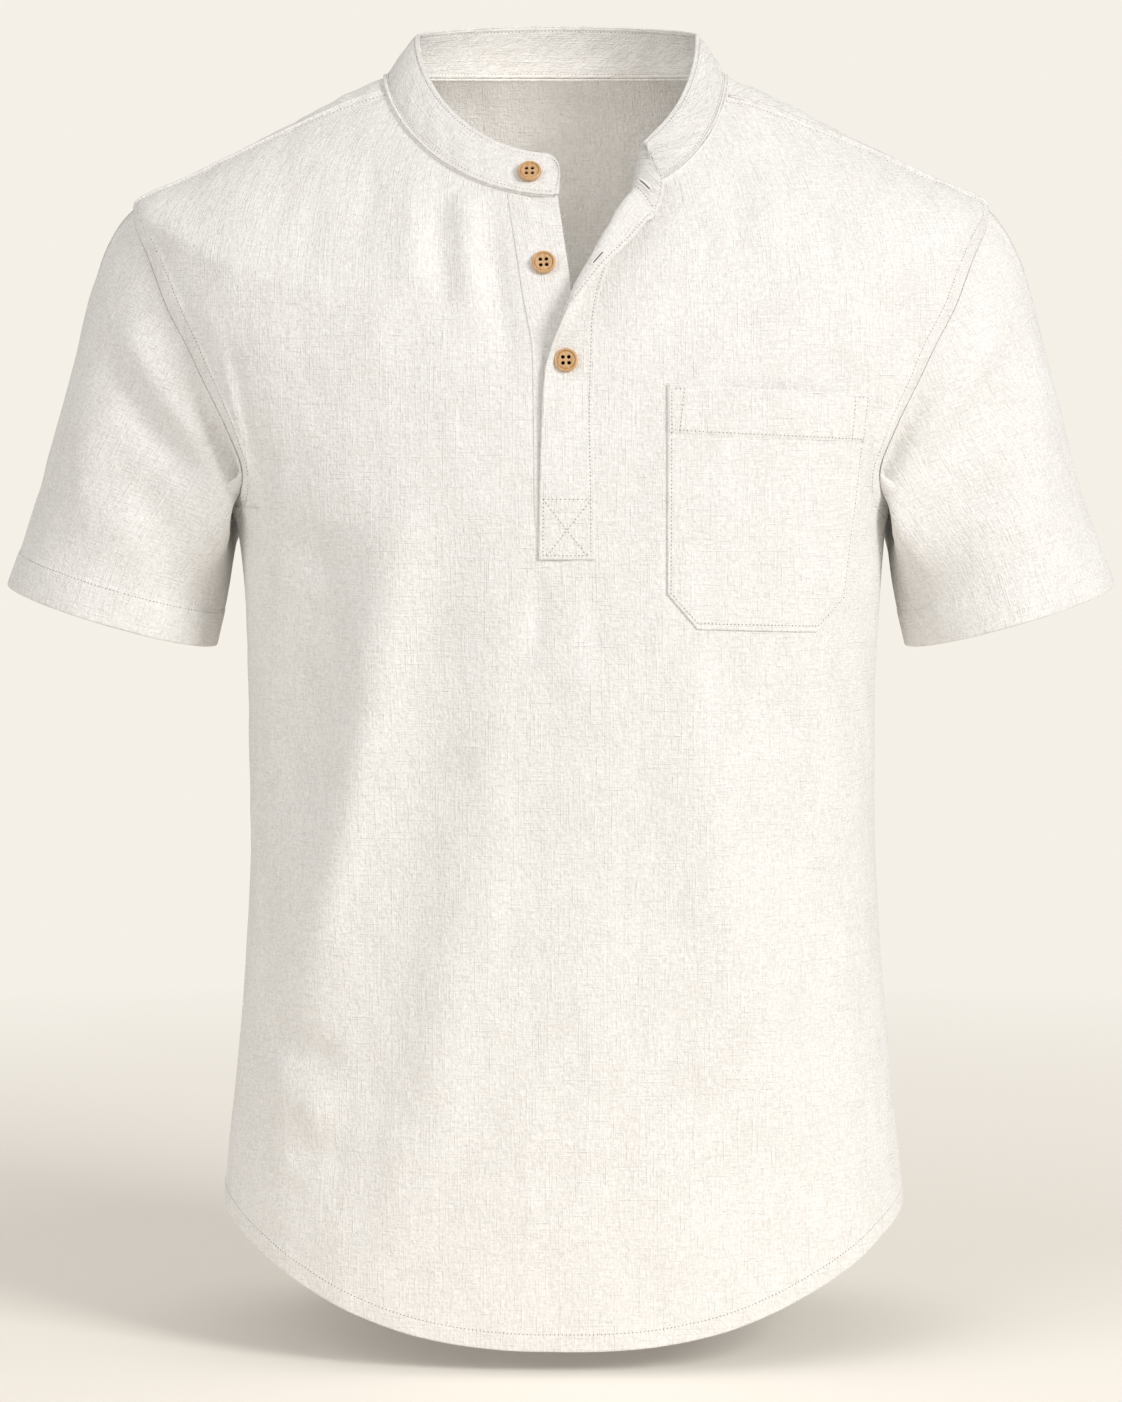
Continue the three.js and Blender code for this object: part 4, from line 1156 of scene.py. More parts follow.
def beside(line: Line, distance: float, towards: Sequence[float]) -> Array:
    """A line's points moved sideways in the cloth, to the side that a point is on.

    Args:
        line: The line.
        distance: How far its points move.
        towards: A point on that side.

    Returns:
        The moved points.
    """
    points, outs = line
    aside = unit(np.cross(outs, np.gradient(points, axis=0)))
    middle = len(points) // 2
    sign = math.copysign(1.0, float(aside[middle] @ (np.asarray(towards, float) - points[middle])))
    return points + aside * distance * sign


def copies(one: bpy.types.Mesh, count: int, name: str) -> bpy.types.Mesh:
    """Many copies of a small mesh in one, all in the same place, made by doubling.

    Args:
        one: The small mesh.
        count: How many copies there are.
        name: The new mesh's name.

    Returns:
        The mesh with all of them.
    """
    block, whole = one.copy(), bmesh.new()
    while count:
        if count & 1:
            whole.from_mesh(block)
        count >>= 1
        doubled = bmesh.new()
        doubled.from_mesh(block)
        doubled.from_mesh(block)
        doubled.to_mesh(block)
        doubled.free()
    mesh = bpy.data.meshes.new(name)
    whole.to_mesh(mesh)
    whole.free()
    bpy.data.meshes.remove(block)
    return mesh


@dataclass
class Thread:
    """Sews rows of stitches along lines that lie on the cloth."""

    material: Material
    hole_shade_material: Material
    kind: StitchKind = TOPSTITCH
    hole_deep: float = 0.00006

    def unit_mesh(self) -> bpy.types.Mesh:
        """One stitch that runs along Z on a face that looks along Y: a bead, and a flat dark bead that
        paints the shade of its needle hole.
        """
        kind = self.kind
        bm = bmesh.new()

        def bead(sizes: Triple, place: Triple, rows: int) -> None:
            """Adds one drop of these half-sizes."""
            matrix = Matrix.Translation(place) @ Matrix.Diagonal((*sizes, 1.0))
            bmesh.ops.create_uvsphere(bm, u_segments=6, v_segments=rows, radius=1.0, matrix=matrix)

        wide, long = (kind.length / 2, kind.radius) if kind.across else (kind.radius, kind.length / 2)
        bead((wide, kind.radius, long), (0.0, kind.proud, 0.0), 4)
        beads = len(bm.faces)
        # The needle hole is not cut: a flat bead in the painted-shade material stands in for its shade.
        if kind.hole:
            bead((kind.hole, self.hole_deep, kind.hole), (0.0, 0.00001, kind.pitch / 2), 3)
        for index, face in enumerate(bm.faces):
            face.smooth = True
            face.material_index = 0 if index < beads else 1
        mesh = bpy.data.meshes.new("stitch")
        bm.to_mesh(mesh)
        bm.free()
        return mesh

    def sew(self, name: str, lines: Iterable[Line]) -> Piece:
        """Makes one piece of all the stitches along some lines.

        Args:
            name: The piece's name.
            lines: Each line's points on the cloth and the ways out of it there.

        Returns:
            The finished piece.
        """
        places, frames = [], []
        for points, outs in lines:
            if len(points) < 2:
                continue
            at, way = resampled(points, outs, self.kind.pitch)
            if len(at) < 2:
                continue
            run = unit(np.gradient(at, axis=0))
            side = unit(np.cross(way, run))
            places.append(at)
            frames.append(np.stack([side, np.cross(run, side), run], axis=-1))
        place, turned = np.concatenate(places), np.concatenate(frames)
        one = self.unit_mesh()
        shape = np.empty(len(one.vertices) * 3)
        one.vertices.foreach_get("co", shape)
        mesh = copies(one, len(place), name)
        laid = np.einsum("nij,vj->nvi", turned, shape.reshape(-1, 3)) + place[:, None]
        mesh.vertices.foreach_set("co", laid.ravel())
        mesh.update()
        bpy.data.meshes.remove(one)
        piece = linked(name, mesh)
        mesh.materials.append(self.material)
        mesh.materials.append(self.hole_shade_material)
        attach(piece, "root")
        log.info("%s: %d faces", name, len(mesh.polygons))
        return piece


# ---- front and back


@dataclass(frozen=True)
class Doubled:
    """Cloth that lies in several layers beside a line: a felled seam, a piped one or a hem."""

    half: float                  # half of its thickness
    reach: float                 # from the line to where the layers end
    fade: float                  # over how much more they thin out
    stitches: float              # from the line to the row of stitches that pulls them in

    def over(self, half: Array, distance: Array) -> Array:
        """Half the cloth's thickness with this added, by the distance from the line."""
        layers = 1 - ease((distance - self.reach) / self.fade)
        return np.maximum(half, mix(PLY / 2, self.half, layers)) - pulled(distance, self.stitches)


FELLED_SEAM = Doubled(0.00105, FELL + 0.0008, 0.0014, FELL)
PIPED_SEAM = Doubled(0.00085, 0.0015, 0.001, 0.0027)
TURNED_HEM = Doubled(0.0009, BODY_HEM + 0.0006, 0.0012, BODY_HEM)
HEM_ROWS = 0.09                  # levels further above the hem's are too far from it for its layers


@dataclass
class Body:
    """The front and back panels, with their hems, felled seams and stitches."""

    wardrobe: Wardrobe
    row_step: float = 0.0034
    span_cells: int = 66
    back_cells: int = 136
    slot_cells: int = 9
    follow: float = 3.0              # how closely only the outer columns follow the armhole
    shoulder_seam: float = 0.0042    # from the shoulder's seam to its topstitching

    def __post_init__(self) -> None:
        """Chooses the levels of the grid's rows."""
        self.levels = self.row_levels()
        self.armhole_rows = (self.levels >= ARMPIT_LEVEL) & (self.levels <= TIP_LEVEL)
        self.front_surface, self.front_kept = self.front_grid()
        self.back_surface = self.back_grid()

    def row_levels(self) -> Array:
        """Levels of the grid's rows, about a step apart along the steepest way up.

        Returns:
            The levels, rising.
        """
        fine = np.linspace(HEM_LEVEL, NECK_LEVEL, 2400)
        lines = [Form.point(fine, angle) for angle in (0.0, 35.0, 60.0, 90.0, 270.0, 315.0)]
        steps = [np.linalg.norm(np.diff(line, axis=0), axis=1) for line in lines]
        rim = Form.point(fine, SEAMS.edge(fine, "front"))
        steps.append(0.32 * np.linalg.norm(np.diff(rim, axis=0), axis=1))
        along = np.concatenate([[0.0], np.cumsum(np.max(steps, axis=0))])
        places = spread(along[-1], int(along[-1] / self.row_step), Edge.FELLED, Edge.STITCHED)
        levels = np.interp(places, along, fine)
        for exact in (ARMPIT_LEVEL, TIP_LEVEL):
            levels[np.abs(levels - exact).argmin()] = exact
        return levels

    def span(self, level: float, side: float, edge: float, inner: float, cells: int,
             last: Edge) -> Array:
        """Angles of a panel's columns on a ring, from its outer edge to an inner place.

        The columns keep their places on the ring, whatever the armhole cuts off, except
        towards the outer edge, where they follow it.

        Args:
            level: The ring's level.
            side: The side line's angle.
            edge: The outer edge's angle.
            inner: The inner place's angle.
            cells: How many even cells there are.
            last: The kind of the inner edge.

        Returns:
            The columns' angles, from the outer edge.
        """
        turned = 1.0 if side < inner else -1.0
        fine = np.linspace(min(side * turned, edge * turned) * turned, inner, 300)
        along = travelled(Form.point(level, fine))
        along -= np.interp(side * turned, fine * turned, along)
        cut = float(np.interp(edge * turned, fine * turned, along))
        band, end = Edge.FELLED.value, last.value
        left = np.linspace(1.0, 0.0, cells + 1)
        whole = along[-1] - band[-1] - end[-1]
        even = end[-1] + whole * left - cut * left ** self.follow
        apart = np.concatenate([along[-1] - cut - np.array(band[:-1]), even, end[:-1][::-1]])
        return np.interp(along[-1] - apart, along, fine)

    @staticmethod
    def slot(level: float) -> tuple[float, float]:
        """The slot in the front on a ring: the under placket's seam and the opened edge.

        Args:
            level: The ring's level.

        Returns:
            Their angles on the ring.
        """
        z = max(float(Form.ring(level).front_z), ARMPIT_LEVEL)
        heights, places = OVER_PLACKET.column("seam_z"), OVER_PLACKET.column("seam_x")
        held = max(level, ARMPIT_LEVEL)
        seam_z = Form.point(held, Form.angle_of_x(held, monotone(heights, places, z)))[2]
        fade = min((NECK_LEVEL - level) / 0.06, 1.0)
        left = monotone(heights, places, seam_z) - mix(-0.0015, 0.004, fade)
        right = UNDER_PLACKET.read("seam", z)
        return float(Form.angle_of_x(level, right)), float(Form.angle_of_x(level, left))

    def pattern(self, points: Array, angles: Array, centre: float) -> Array:
        """The flat pattern of a panel: across from its centre line, and up the cloth.

        How far up a place lies is measured on fixed lines of the form, as the grid's own
        columns lean over beside the armholes.

        Args:
            points: The form's points under the grid.
            angles: The angles of the grid's places.
            centre: The angle of the centre line.

        Returns:
            The pattern's coordinates.
        """
        across = travelled(points[..., :2], 1)
        for row, turned in zip(across, angles):
            order = slice(None, None, 1 if turned[0] < turned[-1] else -1)
            row -= np.interp(centre, turned[order], row[order].copy())
        fixed = np.linspace(centre - 90.0, centre + 90.0, 61)
        lines = Form.point(self.levels[:, None], fixed[None])
        table = travelled(lines[..., 1:])
        armpit = int(np.abs(self.levels - ARMPIT_LEVEL).argmin())
        table += lines[armpit, :, 2] - table[armpit]
        up = np.stack([np.interp(row, fixed, heights) for row, heights in zip(angles, table)])
        return np.stack([across, up], axis=-1)

    @staticmethod
    def near(points: Array, line: Array) -> Array:
        """Distances from grid points to a line of points.

        Args:
            points: The grid's points.
            line: The line's.

        Returns:
            The distance of each point of the grid.
        """
        flat = points.reshape(-1, 3)
        best = np.full(len(flat), np.inf)
        for place in line:
            best = np.minimum(best, ((flat - place) ** 2).sum(axis=1))
        return np.sqrt(best).reshape(points.shape[:2])

    def draped(self, angles: Array, drape: Drape, outside: Sequence[float], centre: float,
               kept: Array) -> Surface:
        """A panel's surface over the form: moved by its folds, and thicker in its seams.

        Args:
            angles: The angles of the grid's places, by rows.
            drape: What moves the cloth.
            outside: A direction that the panel's outside looks along.
            centre: The angle of its centre line.
            kept: Which cells of the grid there are.

        Returns:
            The surface, with half its thickness at each point.
        """
        level = np.broadcast_to(self.levels[:, None], angles.shape)
        form = Form.point(level, angles)
        points = laid(form, Form.out(level, angles), drape.height(level, angles))
        surface = Surface.over(points, outside, self.pattern(form, angles, centre))
        half = np.full(angles.shape, PLY / 2)
        rim, shoulder = points[self.armhole_rows], points[self.levels >= TIP_LEVEL]
        everywhere, high = self.levels < 1.0, self.levels > TIP_LEVEL - 0.02
        low = self.levels < HEM_LEVEL + HEM_ROWS
        seams = [(FELLED_SEAM, rim[:, column], 0.0012, everywhere) for column in (0, -1)]
        seams += [(PIPED_SEAM, shoulder[:, column], 0.0008, high) for column in (0, -1)]
        seams += [(PIPED_SEAM, points[-1], 0.001, high), (TURNED_HEM, points[0], 0.0015, low)]
        for kind, line, pitch, rows in seams:
            distance = np.full(angles.shape, 1.0)
            distance[rows] = self.near(points[rows], resampled(line, line, pitch)[0])
            half = kind.over(half, distance)
        surface.half = rounded(self.edge_distance(points, kept), half)
        return surface

    @staticmethod
    def edge_distance(points: Array, kept: Array) -> Array:
        """Distances to the edge of the kept cells, along the grid lines beside it.

        Args:
            points: The grid's points.
            kept: Which cells of it there are.

        Returns:
            The distances, which are right near the edge and large further in.
        """
        padded = np.pad(kept, 1)
        rim = np.zeros(points.shape[:2], bool)
        for row in (0, 1):
            for column in (0, 1):
                rim |= ~padded[row:row + rim.shape[0], column:column + rim.shape[1]]
        distance = np.where(rim, 0.0, 1.0)
        up = np.linalg.norm(np.diff(points, axis=0), axis=-1)
        across = np.linalg.norm(np.diff(points, axis=1), axis=-1)
        for _ in range(4):
            distance[1:] = np.minimum(distance[1:], distance[:-1] + up)
            distance[:-1] = np.minimum(distance[:-1], distance[1:] + up)
            distance[:, 1:] = np.minimum(distance[:, 1:], distance[:, :-1] + across)
            distance[:, :-1] = np.minimum(distance[:, :-1], distance[:, 1:] + across)
        return distance

    def front_grid(self) -> tuple[Surface, Array]:
        """The front's surface and its cells, with the slot for the plackets left out.

        Returns:
            The surface, and which cells of it there are.
        """
        rows = []
        for level in self.levels:
            edge = float(SEAMS.edge(level, "front"))
            right, left = self.slot(level)
            side = self.span(level, 180.0, 180.0 - edge, right, self.span_cells, Edge.PLAIN)
            gap = np.linspace(right, left, self.slot_cells + 1)[1:-1]
            other = self.span(level, 0.0, edge, left, self.span_cells, Edge.PLAIN)
            rows.append(np.concatenate([side, gap, other[::-1]]))
        angles = np.array(rows)
        kept = np.ones((len(self.levels) - 1, angles.shape[1] - 1), bool)
        first = self.span_cells + len(Edge.FELLED.value) + len(Edge.PLAIN.value) - 2
        above = self.levels[:-1] >= ARMPIT_LEVEL - 1e-9
        kept[np.ix_(above, np.arange(first, first + self.slot_cells))] = False
        return self.draped(angles, FRONT_DRAPE, (0, -1, 0.2), 90.0, kept), kept

    def back_grid(self) -> Surface:
        """The back's surface, which has no slot.

        Returns:
            The surface.
        """
        edges = SEAMS.edge(self.levels, "back")
        rows = []
        for level, edge in zip(self.levels, edges):
            right = self.span(level, 180.0, 180.0 + edge, 270.0, self.back_cells // 2, Edge.OPEN)
            left = self.span(level, 360.0, 360.0 - edge, 270.0, self.back_cells // 2, Edge.OPEN)
            rows.append(np.concatenate([right, left[-2::-1]]))
        angles = np.array(rows)
        kept = np.ones((len(angles) - 1, angles.shape[1] - 1), bool)
        return self.draped(angles, BACK_DRAPE, (0, 1, 0.2), 270.0, kept)

    def seam_lines(self, surface: Surface, piece: Piece, inward: float) -> list[Line]:
        """The armholes' and the hem's lines of stitches on a panel.

        Args:
            surface: The panel's surface.
            piece: The finished panel.
            inward: Where the panel's middle lies along Y.

        Returns:
            The lines, for the thread.
        """
        feeler = Feeler(piece)

        def inside(points: Array, outs: Array, inset: float, middle: Triple) -> Line:
            """The line on the piece that lies inset from an edge, towards its middle."""
            edge = resampled(points, outs, 0.002)
            return feeler.lay(beside(edge, inset, middle), edge[1])

        points, outs, rim = surface.points, surface.outs, self.armhole_rows
        lines = [inside(points[rim, column], outs[rim, beyond], FELL, (0.0, inward, -0.2))
                 for column, beyond in ((0, 1), (-1, -2))]
        if inward < 0:
            top = self.levels >= TIP_LEVEL
            lines += [inside(points[top, column], outs[top, column], self.shoulder_seam,
                             (0.0, -0.15, -0.15)) for column in (0, -1)]
        lines.append(inside(points[0], outs[2], BODY_HEM, (0.0, inward, -0.4)))
        return lines

    def build(self) -> None:
        """Makes both panels and their stitches."""
        front = Cloth.shell("front_cloth", self.front_surface, self.front_kept)
        self.front = dress(front, self.wardrobe.linen, Slot.LINEN, "front")
        back = Cloth.shell("back_cloth", self.back_surface)
        self.back = dress(back, self.wardrobe.linen, Slot.LINEN, "back")
        thread = self.wardrobe.sewing()
        thread.sew("stitches_front", self.seam_lines(self.front_surface, front, -0.13))
        thread.sew("stitches_back", self.seam_lines(self.back_surface, back, 0.13))


# ---- sleeves


def bezier(p0: Array, p1: Array, p2: Array, p3: Array, t: Array) -> Array:
    """Points of cubic curves, one for each row of control points."""
    a, b, c, d = (1 - t) ** 3, 3 * t * (1 - t) ** 2, 3 * t * t * (1 - t), t ** 3
    return (p0[..., None, :] * a[:, None] + p1[..., None, :] * b[:, None]
            + p2[..., None, :] * c[:, None] + p3[..., None, :] * d[:, None])


def along_curve(curve: Array, places: Callable[[float], Array]) -> Array:
    """Reads a curve's points at distances that are chosen from its length."""
    along = travelled(curve)
    return read_along(curve, along, places(along[-1]))


SLEEVE_FOLDS = (
    # Each in X away from the middle, and Z, over the sleeve's front.
    Fold(((240, -128), (227, -158), (208, -188), (190, -214)), 4.2, 11, 11, 0.4),
    Fold(((252, -145), (241, -166), (226, -190), (208, -212), (196, -228)), -3.8, 10, 10, 0.4),
    Fold(((262, -160), (262, -200), (256, -240), (250, -275)), 2.6, 13, 15, 0.4),
    Fold(((284, -170), (288, -220), (290, -265)), -1.6, 10, 10, 0.4),
    Fold(((236, -215), (222, -240), (206, -262)), -2, 10, 10, 0.4),
    Fold(((246, -235), (232, -262), (222, -290)), 1.6, 10, 10, 0.4),
)

SLEEVE_CRINKLES = (
    Crinkle(0.04, 0.09, 0.001, 41, 0.25),
    Crinkle(0.018, 0.042, 0.0006, 42, -0.35),
    Crinkle(0.01, 0.018, 0.00026, 43, 0.2),
)


@dataclass
class Sleeve:
    """One short sleeve, from the armhole to its open cuff."""

    wardrobe: Wardrobe
    side: float                      # 1 on the wearer's left, -1 on the right
    half_cells: int = 74             # around each half of the armhole
    length_cells: int = 72
    radius: float = 0.06
    cuff_deep: float = 0.021         # the straight end of the sleeve
    cuff_x: float = 0.2503
    cuff_z: float = -0.2996
    lean: float = math.radians(16.5)
    cap_lean: float = math.radians(48.0)
    forward: float = 0.0025
    taper: float = 0.02
    joint: float = 0.0006            # the groove between the sleeve and the body
    crease: float = 0.0105           # how deep the cloth sinks beside the armhole, low in front
    crease_at: float = 0.0105        # how far from the armhole it is deepest
    crease_wide: float = 0.008
    hem_half: float = 0.00085

    def armhole(self) -> tuple[Array, Array, Array]:
        """The armhole from the armpit, up its back, and down its front.

        Returns:
            Its points, the ways out of the body there, and turns from -pi to pi.
        """
        down = np.linspace(TIP_LEVEL, ARMPIT_LEVEL, 1500)
        up = down[::-1]
        halves = ((up, -SEAMS.edge(up, "back"), -math.pi), (down, SEAMS.edge(down, "front"), 0.0))
        found = []
        for levels, angles, turn in halves:
            along = travelled(Form.point(levels, angles))
            along /= along[-1]
            at = np.linspace(0.0, 1.0, self.half_cells + 1)
            level, angle = np.interp(at, along, levels), np.interp(at, along, angles)
            found.append((Form.point(level, angle), Form.out(level, angle), turn + math.pi * at))
        return tuple(np.concatenate([found[0][i], found[1][i][1:]]) for i in range(3))

    def cuff(self, turn: Array, lift: float) -> Array:
        """Points of the sleeve's end, `lift` up from its open edge.

        Args:
            turn: Turns round the end, in radians.
            lift: How far up it is.

        Returns:
            A point for each turn.
        """
        outward = np.array([math.cos(self.lean), 0.0, math.sin(self.lean)])
        pitch = self.forward / self.radius
        upward = unit(np.array([-math.sin(self.lean), pitch, math.cos(self.lean)]))
        wide = self.radius * (1 - self.taper * lift / 0.02)
        points = np.array([self.cuff_x, 0.0, self.cuff_z]) + outward * (wide * np.cos(turn))[:, None]
        points[:, 1] -= wide * np.sin(turn)
        points[:, 2] -= self.forward * np.sin(turn)
        return points + upward * lift

    def lines(self) -> Array:
        """The sleeve's lengthwise lines, from the armhole down.

        Returns:
            Columns by rows of points.
        """
        at, out, turn = self.armhole()
        run = np.roll(at[:-1], -1, axis=0) - np.roll(at[:-1], 1, axis=0)
        run = np.concatenate([run, run[:1]])
        away = unit(np.cross(out, -run)) * -1.0
        if away[self.half_cells, 0] < 0:
            away = -away
        under = ((1 - np.cos(turn)) / 2)[:, None]
        axis = np.array([math.sin(self.lean), 0.0, -math.cos(self.lean)])
        down = mix(axis, np.array([0.0, 0.0, -1.0]), under)
        cap = np.array([math.sin(self.cap_lean), 0.0, -math.cos(self.cap_lean)])
        leave = unit(mix(away, down, mix(0.35, 1.0, np.sqrt(under))))
        leave = unit(mix(leave, cap, np.maximum(0.0, np.cos(turn))[:, None] ** 2))
        raised = np.maximum((leave * out).sum(axis=1), 0.0)
        bend = np.arctan2(raised, (leave * away).sum(axis=1))[:, None]
        normal = -away * np.sin(bend) + out * np.cos(bend)
        gap = mix(self.joint, 0.0004, bend / math.pi)
        start = at + out * (PLY / 2 + gap * np.sin(bend / 2)) + away * gap * np.cos(bend / 2)
        start = start - normal * PLY / 2
        top = self.cuff(turn, self.cuff_deep)
        reach = np.linalg.norm(top - start, axis=1)[:, None]
        into = unit(self.cuff(turn, 0.0) - top)
        curve = bezier(start, start + leave * reach * mix(0.2, 0.45, under),
                       top - into * reach * mix(0.5, 0.25, under), top, np.linspace(0, 1, 120))
        lifts = [0.0205, 0.02, SLEEVE_HEM, 0.0188, 0.018, *np.linspace(0.016, 0.0024, 8)]
        lifts += reversed(Edge.PLAIN.value)
        ends = np.stack([self.cuff(turn, lift) for lift in lifts], axis=1)
        self.hem_row = self.length_cells + len(Edge.PLAIN.value) - 1 + 3
        places = lambda length: spread(length, self.length_cells, Edge.PLAIN, Edge.OPEN)
        longs = np.stack([along_curve(line, places) for line in curve])
        return np.concatenate([longs, ends], axis=1)

    def surface(self) -> Surface:
        """The sleeve's surface, moved by its folds."""
        lines = self.lines()
        points = lines.transpose(1, 0, 2).copy()
        _, _, turn = self.armhole()
        down = travelled(points)
        left = down[-1:] - down
        flat = np.stack([np.broadcast_to(turn * 0.066, down.shape), left], axis=-1)
        base = Surface.over(points, (0, -1, 0), flat, loop=True)
        facing = ease(np.sin(turn) * 1.6 + 0.1)
        x, z = points[..., 0], points[..., 2]
        moved = sum(fold.at(x, z) for fold in SLEEVE_FOLDS) * facing
        behind = ease(-np.sin(turn) * 1.6 + 0.1)
        moved = moved + sum(fold.at(x, z) for fold in SLEEVE_FOLDS[:3]) * behind * 0.6
        seed = 0 if self.side > 0 else 50
        for crinkle in SLEEVE_CRINKLES:
            moved = moved + crinkle.other(seed).at(flat[..., 0], flat[..., 1])
        near_body = ease((1 - np.abs(turn) / math.pi) / 0.22)
        fade = ease(down / 0.014) * mix(0.25, 1.0, ease((left - 0.012) / 0.03)) * near_body
        low = ease((turn / math.pi - 0.42) / 0.2) * ease((1.0 - turn / math.pi) / 0.14)
        crease = self.crease * bell(down - self.crease_at, self.crease_wide) * low
        crease = crease * ease(down / 0.006)
        moved = moved * fade
        ripple = Crinkle(0.0065, 0.04, 0.0003, 45 + seed).at(flat[..., 0], flat[..., 1])
        moved = moved - crease + ripple * ease(left / 0.004) * ease((0.03 - left) / 0.01)
        points = laid(points, base.outs, moved)
        points[:, -1] = points[:, 0]
        surface = Surface.over(points, (0, -1, 0), flat, loop=True)
        turned = 1 - ease((left - SLEEVE_HEM - 0.0004) / 0.0011)
        half = mix(PLY / 2, self.hem_half, turned) - pulled(left, SLEEVE_HEM)
        surface.half = rounded(np.minimum(down, left), half)
        if self.side < 0:
            surface.points[..., 0] *= -1
            surface.outs[..., 0] *= -1
        return surface

    def build(self) -> None:
        """Makes the sleeve and its hem's stitches."""
        name = "sleeve_left" if self.side > 0 else "sleeve_right"
        surface = self.surface()
        piece = Cloth.shell(f"{name}_cloth", surface)
        dress(piece, self.wardrobe.linen, Slot.LINEN, name)
        columns = np.arange(surface.points.shape[1])
        self.wardrobe.sewing().sew(f"stitches_{name}", [surface.trace(self.hem_row, columns)])


# ---- plackets


def turned_sections(seam: Array, roll: Array, edge: Array, outward: Array, turn: Array) -> Array:
    """Sections through a strip that turns over at its edge.

    Args:
        seam: Its sewn points.
        roll: Its points where it turns.
        edge: Its free edge.
        outward: The ways out of the cloth at the roll.
        turn: How far it has turned at the roll, in degrees.

    Returns:
        For each section, points from the seam over the roll to the edge.
    """
    turn = np.radians(np.asarray(turn, float))[..., None]
    dot = lambda a, b: (a * b).sum(axis=-1, keepdims=True)
    inward = roll - seam
    inward = unit(inward - outward * dot(inward, outward))
    at_roll = inward * np.cos(turn) + outward * np.sin(turn)
    last = edge - roll
    last = unit(last - outward * dot(last, outward) * np.abs(np.cos(2 * turn)))
    reach = np.linalg.norm(roll - seam, axis=-1, keepdims=True)
    raised = np.maximum(dot(roll - seam, outward), 0.0)
    longest = 0.3 * reach
    rising = np.minimum(longest, raised / np.maximum(np.sin(turn), 1e-6))
    handle = np.where(turn > 0.01, rising, longest)
    last_reach = np.linalg.norm(edge - roll, axis=-1, keepdims=True)
    t = np.linspace(0.0, 1.0, 50)
    attached = bezier(seam, seam + inward * reach * 0.45, roll - at_roll * handle, roll, t)
    turned = bezier(roll, roll + at_roll * last_reach * 0.33, edge - last * last_reach * 0.4, edge, t)
    return np.concatenate([attached, turned[..., 1:, :]], axis=-2)


BAND_OUT = unit(np.array([0.35, -0.85, 0.4]))     # out of the band at its turned end


def band_end(share: float) -> list[Array]:
    """The roll and the free edge of the band's turned end, by the share of its height."""
    return [BAND_END.reads(f"{part}_x {part}_y {part}_z", share)[None] for part in ("roll", "edge")]


